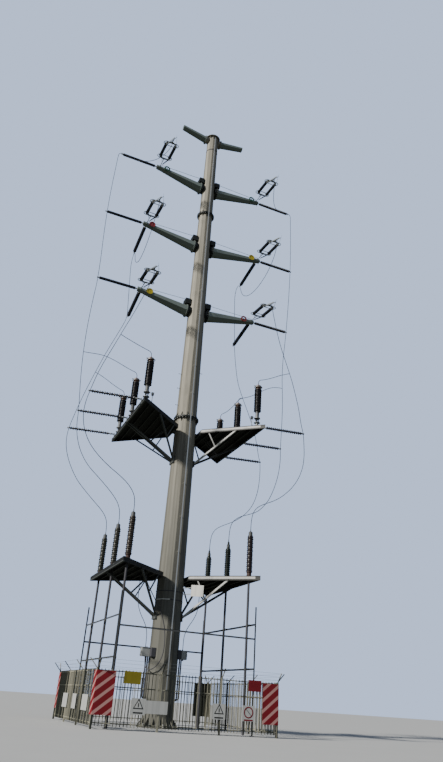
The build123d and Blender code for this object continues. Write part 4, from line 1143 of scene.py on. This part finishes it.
class TOWER_OT_terminations(bpy.types.Operator):
    """Cable terminations on the lower platforms, each with its own housing colour."""

    bl_idname = "tower.terminations"
    bl_label = "Cable terminations"

    def execute(self, context):
        base = stack((0.138, 0.0, 0.025), (0.105, 0.03, 0.16), (0.137, 0.18, 0.21))
        bm = bmesh.new()
        spun(bm, base, 20, 1)
        ring_of(bm, 8, 0.122, 0.025, 0.011, 0.02, 1)
        spun(bm, shed_profile(0.21, 1.81, 0.12, 0.154, 0.09, 0.6), 22, 0)
        cap = stack(
            (0.107, 1.81, 1.85), (0.094, 1.86, 1.98), (0.07, 2.01), (0.03, 2.03),
            (0.022, 2.04, 2.11),
        )
        spun(bm, cap, 20, 2)
        round_top = mesh_of("termination_unit", bm)
        bm = bmesh.new()
        spun(bm, base, 20, 1)
        spun(bm, shed_profile(0.21, 1.62, 0.118, 0.154, 0.09), 22, 0)
        cone = stack(
            (0.125, 1.62), (0.12, 1.66), (0.085, 1.70), (0.078, 1.86), (0.055, 1.90),
            (0.046, 2.00), (0.022, 2.03, 2.11),
        )
        spun(bm, cone, 20, 0)
        slim_top = mesh_of("slim_termination_unit", bm)
        glazes = {
            "left_near": ((0.020, 0.014, 0.010), (0.12, 0.10, 0.075)),
            "left_mid": ((0.018, 0.019, 0.013), (0.13, 0.13, 0.10)),
            "left_far": ((0.016, 0.018, 0.012), (0.11, 0.12, 0.09)),
            "right_near": ((0.009, 0.004, 0.006), (0.028, 0.018, 0.024)),
            "right_mid": ((0.004, 0.009, 0.007), (0.03, 0.045, 0.04)),
            "right_far": ((0.005, 0.010, 0.008), (0.03, 0.045, 0.04)),
        }
        metals = [sign_paint("termination_foot", (0.05, 0.022, 0.018)), grey_steel()]
        for place, (glaze, dust) in glazes.items():
            name, row = place.split("_")
            housing = dusty(f"housing_{place}", glaze, dust, 0.6)
            unit = slim_top if place in ("right_mid", "right_far") else round_top
            bm = bmesh.new()
            spot = (SIDES[name] * TERMINATION_X, ROWS[row], LOWER_DECK)
            stand(bm, unit, Matrix.Translation(spot))
            piece(
                f"termination_{place}", bm, [housing, *metals],
                [f"cable_terminations_{name}"],
            )
        return {"FINISHED"}


class TOWER_OT_platforms(bpy.types.Operator):
    """Finish of the platforms, with their bolts, the cable clamps and the cable frames."""

    bl_idname = "tower.platforms"
    bl_label = "Platforms"

    def execute(self, context):
        colours = context.scene.tower_colours
        for name in SIDES:
            for deck, level in (("upper", UPPER_DECK), ("lower", LOWER_DECK)):
                dress(f"{deck}_deck_{name}", grating("deck_grating", colours))
                finish = frame_light_and_shade(f"deck_frame_{deck}_{name}", colours, name, level)
                dress(f"{deck}_deck_frame_{name}", finish)
            dress(f"power_cables_{name}", sheath(colours))

        bm = bmesh.new()
        for side in SIDES.values():
            for deck, drop in ((UPPER_DECK, 1.72), (LOWER_DECK, 1.80)):
                face = pole_width(deck - drop) / 2 + 0.04
                for y in (-0.22, -0.08, 0.08, 0.22):
                    for rise in (-0.11, 0.11):
                        stud(bm, side, (face, face + 0.02), y, deck - drop + rise, 0.017)
                for y in (-1.5, 1.5):
                    stud(bm, side, (3.13, 3.145), y, deck - 0.08, 0.016)
        piece("platform_bolts", bm, [zinc(colours)])

        bm = bmesh.new()
        for name, side in SIDES.items():
            x = side * TERMINATION_X
            for z in RAIL_HEIGHTS[name]:
                for y in ROWS.values():
                    place = Matrix.Translation((x, y, z))
                    hoop(bm, (0.053, 0.059), (-0.03, 0.03), 24, 0, place)
                    for offset in (-0.062, 0.062):
                        block(bm, (x, y + offset, z), (0.05, 0.012, 0.06), 0)
        piece("cable_clamps", bm, [grey_steel()])

        half = ANGLE_LEG / 2
        for name, side in SIDES.items():
            bm = bmesh.new()
            for inward, top in zip((1, -1), FRAME_TOPS):
                y = -inward * FRAME_Y
                corner = (side * (FRAME_X + half), y - inward * half)
                angle_bar(bm, (*corner, 0.0), (*corner, top), ((-side, 0, 0), (0, inward, 0)))
                block(bm, (side * FRAME_X, y, 0.006), (0.16, 0.16, 0.012))
                for offset in (-0.055, 0.055):
                    foot = (side * FRAME_X + offset, y + offset)
                    round_bar(bm, (*foot, 0.012), (*foot, 0.03), 0.012, 0, sides=6)
            for z in RAIL_HEIGHTS[name]:
                x, end = side * RAIL_FACE, FRAME_Y - half
                ways = ((-side, 0, 0), (0, 0, -1))
                angle_bar(bm, (x, -end, z + half), (x, end, z + half), ways)
                for y in ROWS.values():
                    block(bm, (x - side * 0.0745, y, z + 0.036), (0.149, 0.06, 0.008))
            nodes = [f"cable_frame_{name}"]
            piece(f"frame_angles_{name}", bm, [grey_steel()], nodes)

        bm = bmesh.new()
        for inward, z in zip((1, -1), TIE_HEIGHTS):
            y, reach = -inward * (FRAME_Y + half), FRAME_X - half
            ways = ((0, inward, 0), (0, 0, -1))
            angle_bar(bm, (-reach, y, z + half), (reach, y, z + half), ways)
        piece("frame_tie_angles", bm, [grey_steel()], ["cable_frame_ties"])
        return {"FINISHED"}


class TOWER_OT_pole_equipment(bpy.types.Operator):
    """Link boxes with their conduits, and the number plate."""

    bl_idname = "tower.pole_equipment"
    bl_label = "Pole equipment"

    def execute(self, context):
        colours = context.scene.tower_colours
        bm = bmesh.new()
        z, outer = 2.87, 1.045
        wall = pole_width(z) / 2
        for side in SIDES.values():
            shells = [
                (outer - 0.18, 0, 0, (0.36, 0.30, 0.35), 0),
                (outer - 0.18, 0, 0.181, (0.40, 0.34, 0.012), 0),
                (outer + 0.004, 0, 0, (0.008, 0.26, 0.31), 0),
                (outer + 0.013, -0.09, 0, (0.016, 0.03, 0.09), 1),
                (0.60, -0.29, 0, (0.19, 0.24, 0.36), 1),
                (0.74, -0.05, 1.7 - z, (0.22, 0.05, 0.03), 0),
            ]
            for rise in (-0.12, 0.12):
                shells.append((outer + 0.010, 0.12, rise, (0.014, 0.03, 0.05), 1))
                shells.append((wall + 0.03, 0, rise, (0.11, 0.24, 0.04), 1))
            for x, y, rise, size, index in shells:
                block(bm, (side * x, y, z + rise), size, index)
            for x, y, low, high, radius in (
                (0.87, 0.0, z + 0.18, 3.10, 0.026), (0.78, 0.08, z + 0.18, 3.10, 0.026),
                (0.74, -0.05, z - 0.18, 1.12, 0.032), (0.82, -0.05, z - 0.18, 1.12, 0.032),
                (0.87, -0.1, z - 0.18, z - 0.23, 0.03),
            ):
                round_bar(bm, (side * x, y, low), (side * x, y, high), radius, 1)
            for x in (0.74, 0.82):
                round_bar(bm, (side * x, -0.05, 1.12), (side * 0.60, -0.05, 1.02), 0.032, 1)
        grey = metal("box_paint", colours.box_paint, (0.14, 0.15, 0.14), 0.4, 0.3, 0.1, 0.1)
        piece("link_box_cases", bm, [grey, sheath(colours)], ["link_boxes"])

        bm = bmesh.new()
        turn = Matrix.Rotation(math.radians(-28), 4, "Z")
        block(bm, (0.939, -1.09, 5.52), (0.56, 0.008, 0.49), 0, turn)
        for z in (5.38, 5.66):
            strip(bm, (0.42, -0.44, z), (0.947, -1.072, z), 0.03, 0.03, 1)
        finishes = [sign_paint("plate_white", (0.97, 0.97, 0.92)), dark_steel(colours)]
        piece("number_plate", bm, finishes)
        return {"FINISHED"}


class TOWER_OT_fence(bpy.types.Operator):
    """Finish of the fence, with corner stripes, wires and bare signs."""

    bl_idname = "tower.fence"
    bl_label = "Fence"

    def execute(self, context):
        sizes, colours = context.scene.tower_sizes, context.scene.tower_colours
        for side in ("front", "rear", "left", "right"):
            dress(f"fence_{side}", picket_paint("fence_paint", colours))

        bm = bmesh.new()
        for x_side in (-1, 1):
            for y_side in (-1, 1):
                x, y = x_side * FENCE_FACES[0], y_side * FENCE_FACES[1]
                block(bm, (x - x_side * 0.36, y, 1.175), (0.722, 0.0015, 1.448), 0)
                block(bm, (x, y - y_side * 0.21, 1.175), (0.0015, 0.42, 1.448), 0)
        finishes = [stripes("corner_stripes", colours)]
        piece("corner_stripes", bm, finishes, smooth=False)

        bm = bmesh.new()
        for share in (0.25, 0.62, 0.97):
            out, z = 0.33 * share, 1.96 + 0.33 * share
            for side in (-1, 1):
                x, y = side * (3.7 + out), side * (3.75 + out)
                for start, end in (((-3.7, y, z), (3.7, y, z)), ((x, -3.69, z), (x, 3.69, z))):
                    round_bar(bm, start, end, sizes.wire_radius * 0.6, 0, sides=5)
        piece("fence_wires", bm, [dark_steel(colours)])

        paints = {
            "sign_yellow": (0.28, 0.235, 0.012), "sign_red": (0.22, 0.003, 0.012),
            "sign_white": (0.60, 0.61, 0.60), "sign_black": (0.02, 0.02, 0.02),
        }
        yellow, red, white, black = range(4)
        bm = bmesh.new()
        for x, z, width, height, index in (
            (-2.38, 1.725, 0.66, 0.42, yellow), (2.66, 1.775, 0.56, 0.40, red),
            (-2.05, 0.79, 0.54, 0.54, white), (-1.345, 0.795, 0.86, 0.43, white),
            (1.165, 0.795, 0.54, 0.53, white), (2.415, 0.795, 0.53, 0.54, white),
        ):
            block(bm, (x, SIGN_FACE, z), (width, 0.006, height), index)
        for x in (-2.05, 1.165):
            triangle(bm, (x, SIGN_FACE - 0.005, 0.83), 0.40, black)
            triangle(bm, (x, SIGN_FACE - 0.007, 0.83), 0.29, white)
            block(bm, (x, SIGN_FACE - 0.009, 0.84), (0.035, 0.003, 0.13), black)
            block(bm, (x, SIGN_FACE - 0.005, 0.59), (0.36, 0.003, 0.045), black)
        block(bm, (2.415, SIGN_FACE - 0.005, 0.565), (0.38, 0.003, 0.05), red)
        front = SIGN_FACE - 0.006
        place = along((2.415, front, 0.83), (0, -1, 0))
        hoop(bm, (0.16, 0.20), (-0.002, 0.002), 28, red, place)
        strip(bm, (2.30, front, 0.945), (2.53, front, 0.715), 0.035, 0.004, black)
        for y, width in ((1.42, 0.98), (-0.47, 0.72), (-2.42, 0.96)):
            block(bm, (-3.75, y, 0.81), (0.006, width, 0.53), white)
        finishes = [sign_paint(name, rgb) for name, rgb in paints.items()]
        piece("fence_signs", bm, finishes, smooth=False)
        return {"FINISHED"}


OPERATORS = (
    TOWER_OT_stage, TOWER_OT_leads, TOWER_OT_pole, TOWER_OT_arms, TOWER_OT_strings, TOWER_OT_posts,
    TOWER_OT_arresters, TOWER_OT_terminations, TOWER_OT_platforms, TOWER_OT_pole_equipment,
    TOWER_OT_fence,
)


class TOWER_PT_panel(bpy.types.Panel):
    """Lists the tower's pieces in the sidebar."""

    bl_label = "Cable Terminal Tower"
    bl_idname = "TOWER_PT_panel"
    bl_space_type = "VIEW_3D"
    bl_region_type = "UI"
    bl_category = "Tower"

    def draw(self, context):
        for operator in OPERATORS:
            self.layout.operator(operator.bl_idname)


CLASSES = (TowerSizes, TowerColours, *OPERATORS, TOWER_PT_panel)


def register():
    for made in CLASSES:
        bpy.utils.register_class(made)
    bpy.types.Scene.tower_sizes = PointerProperty(type=TowerSizes)
    bpy.types.Scene.tower_colours = PointerProperty(type=TowerColours)


def unregister():
    del bpy.types.Scene.tower_colours
    del bpy.types.Scene.tower_sizes
    for made in reversed(CLASSES):
        bpy.utils.unregister_class(made)


def main():
    register()
    bpy.ops.tower.stage()
    bpy.ops.tower.leads()
    bpy.ops.tower.pole()
    bpy.ops.tower.arms()
    bpy.ops.tower.strings()
    bpy.ops.tower.posts()
    bpy.ops.tower.arresters()
    bpy.ops.tower.terminations()
    bpy.ops.tower.platforms()
    bpy.ops.tower.pole_equipment()
    bpy.ops.tower.fence()


if __name__ == "__main__":
    main()
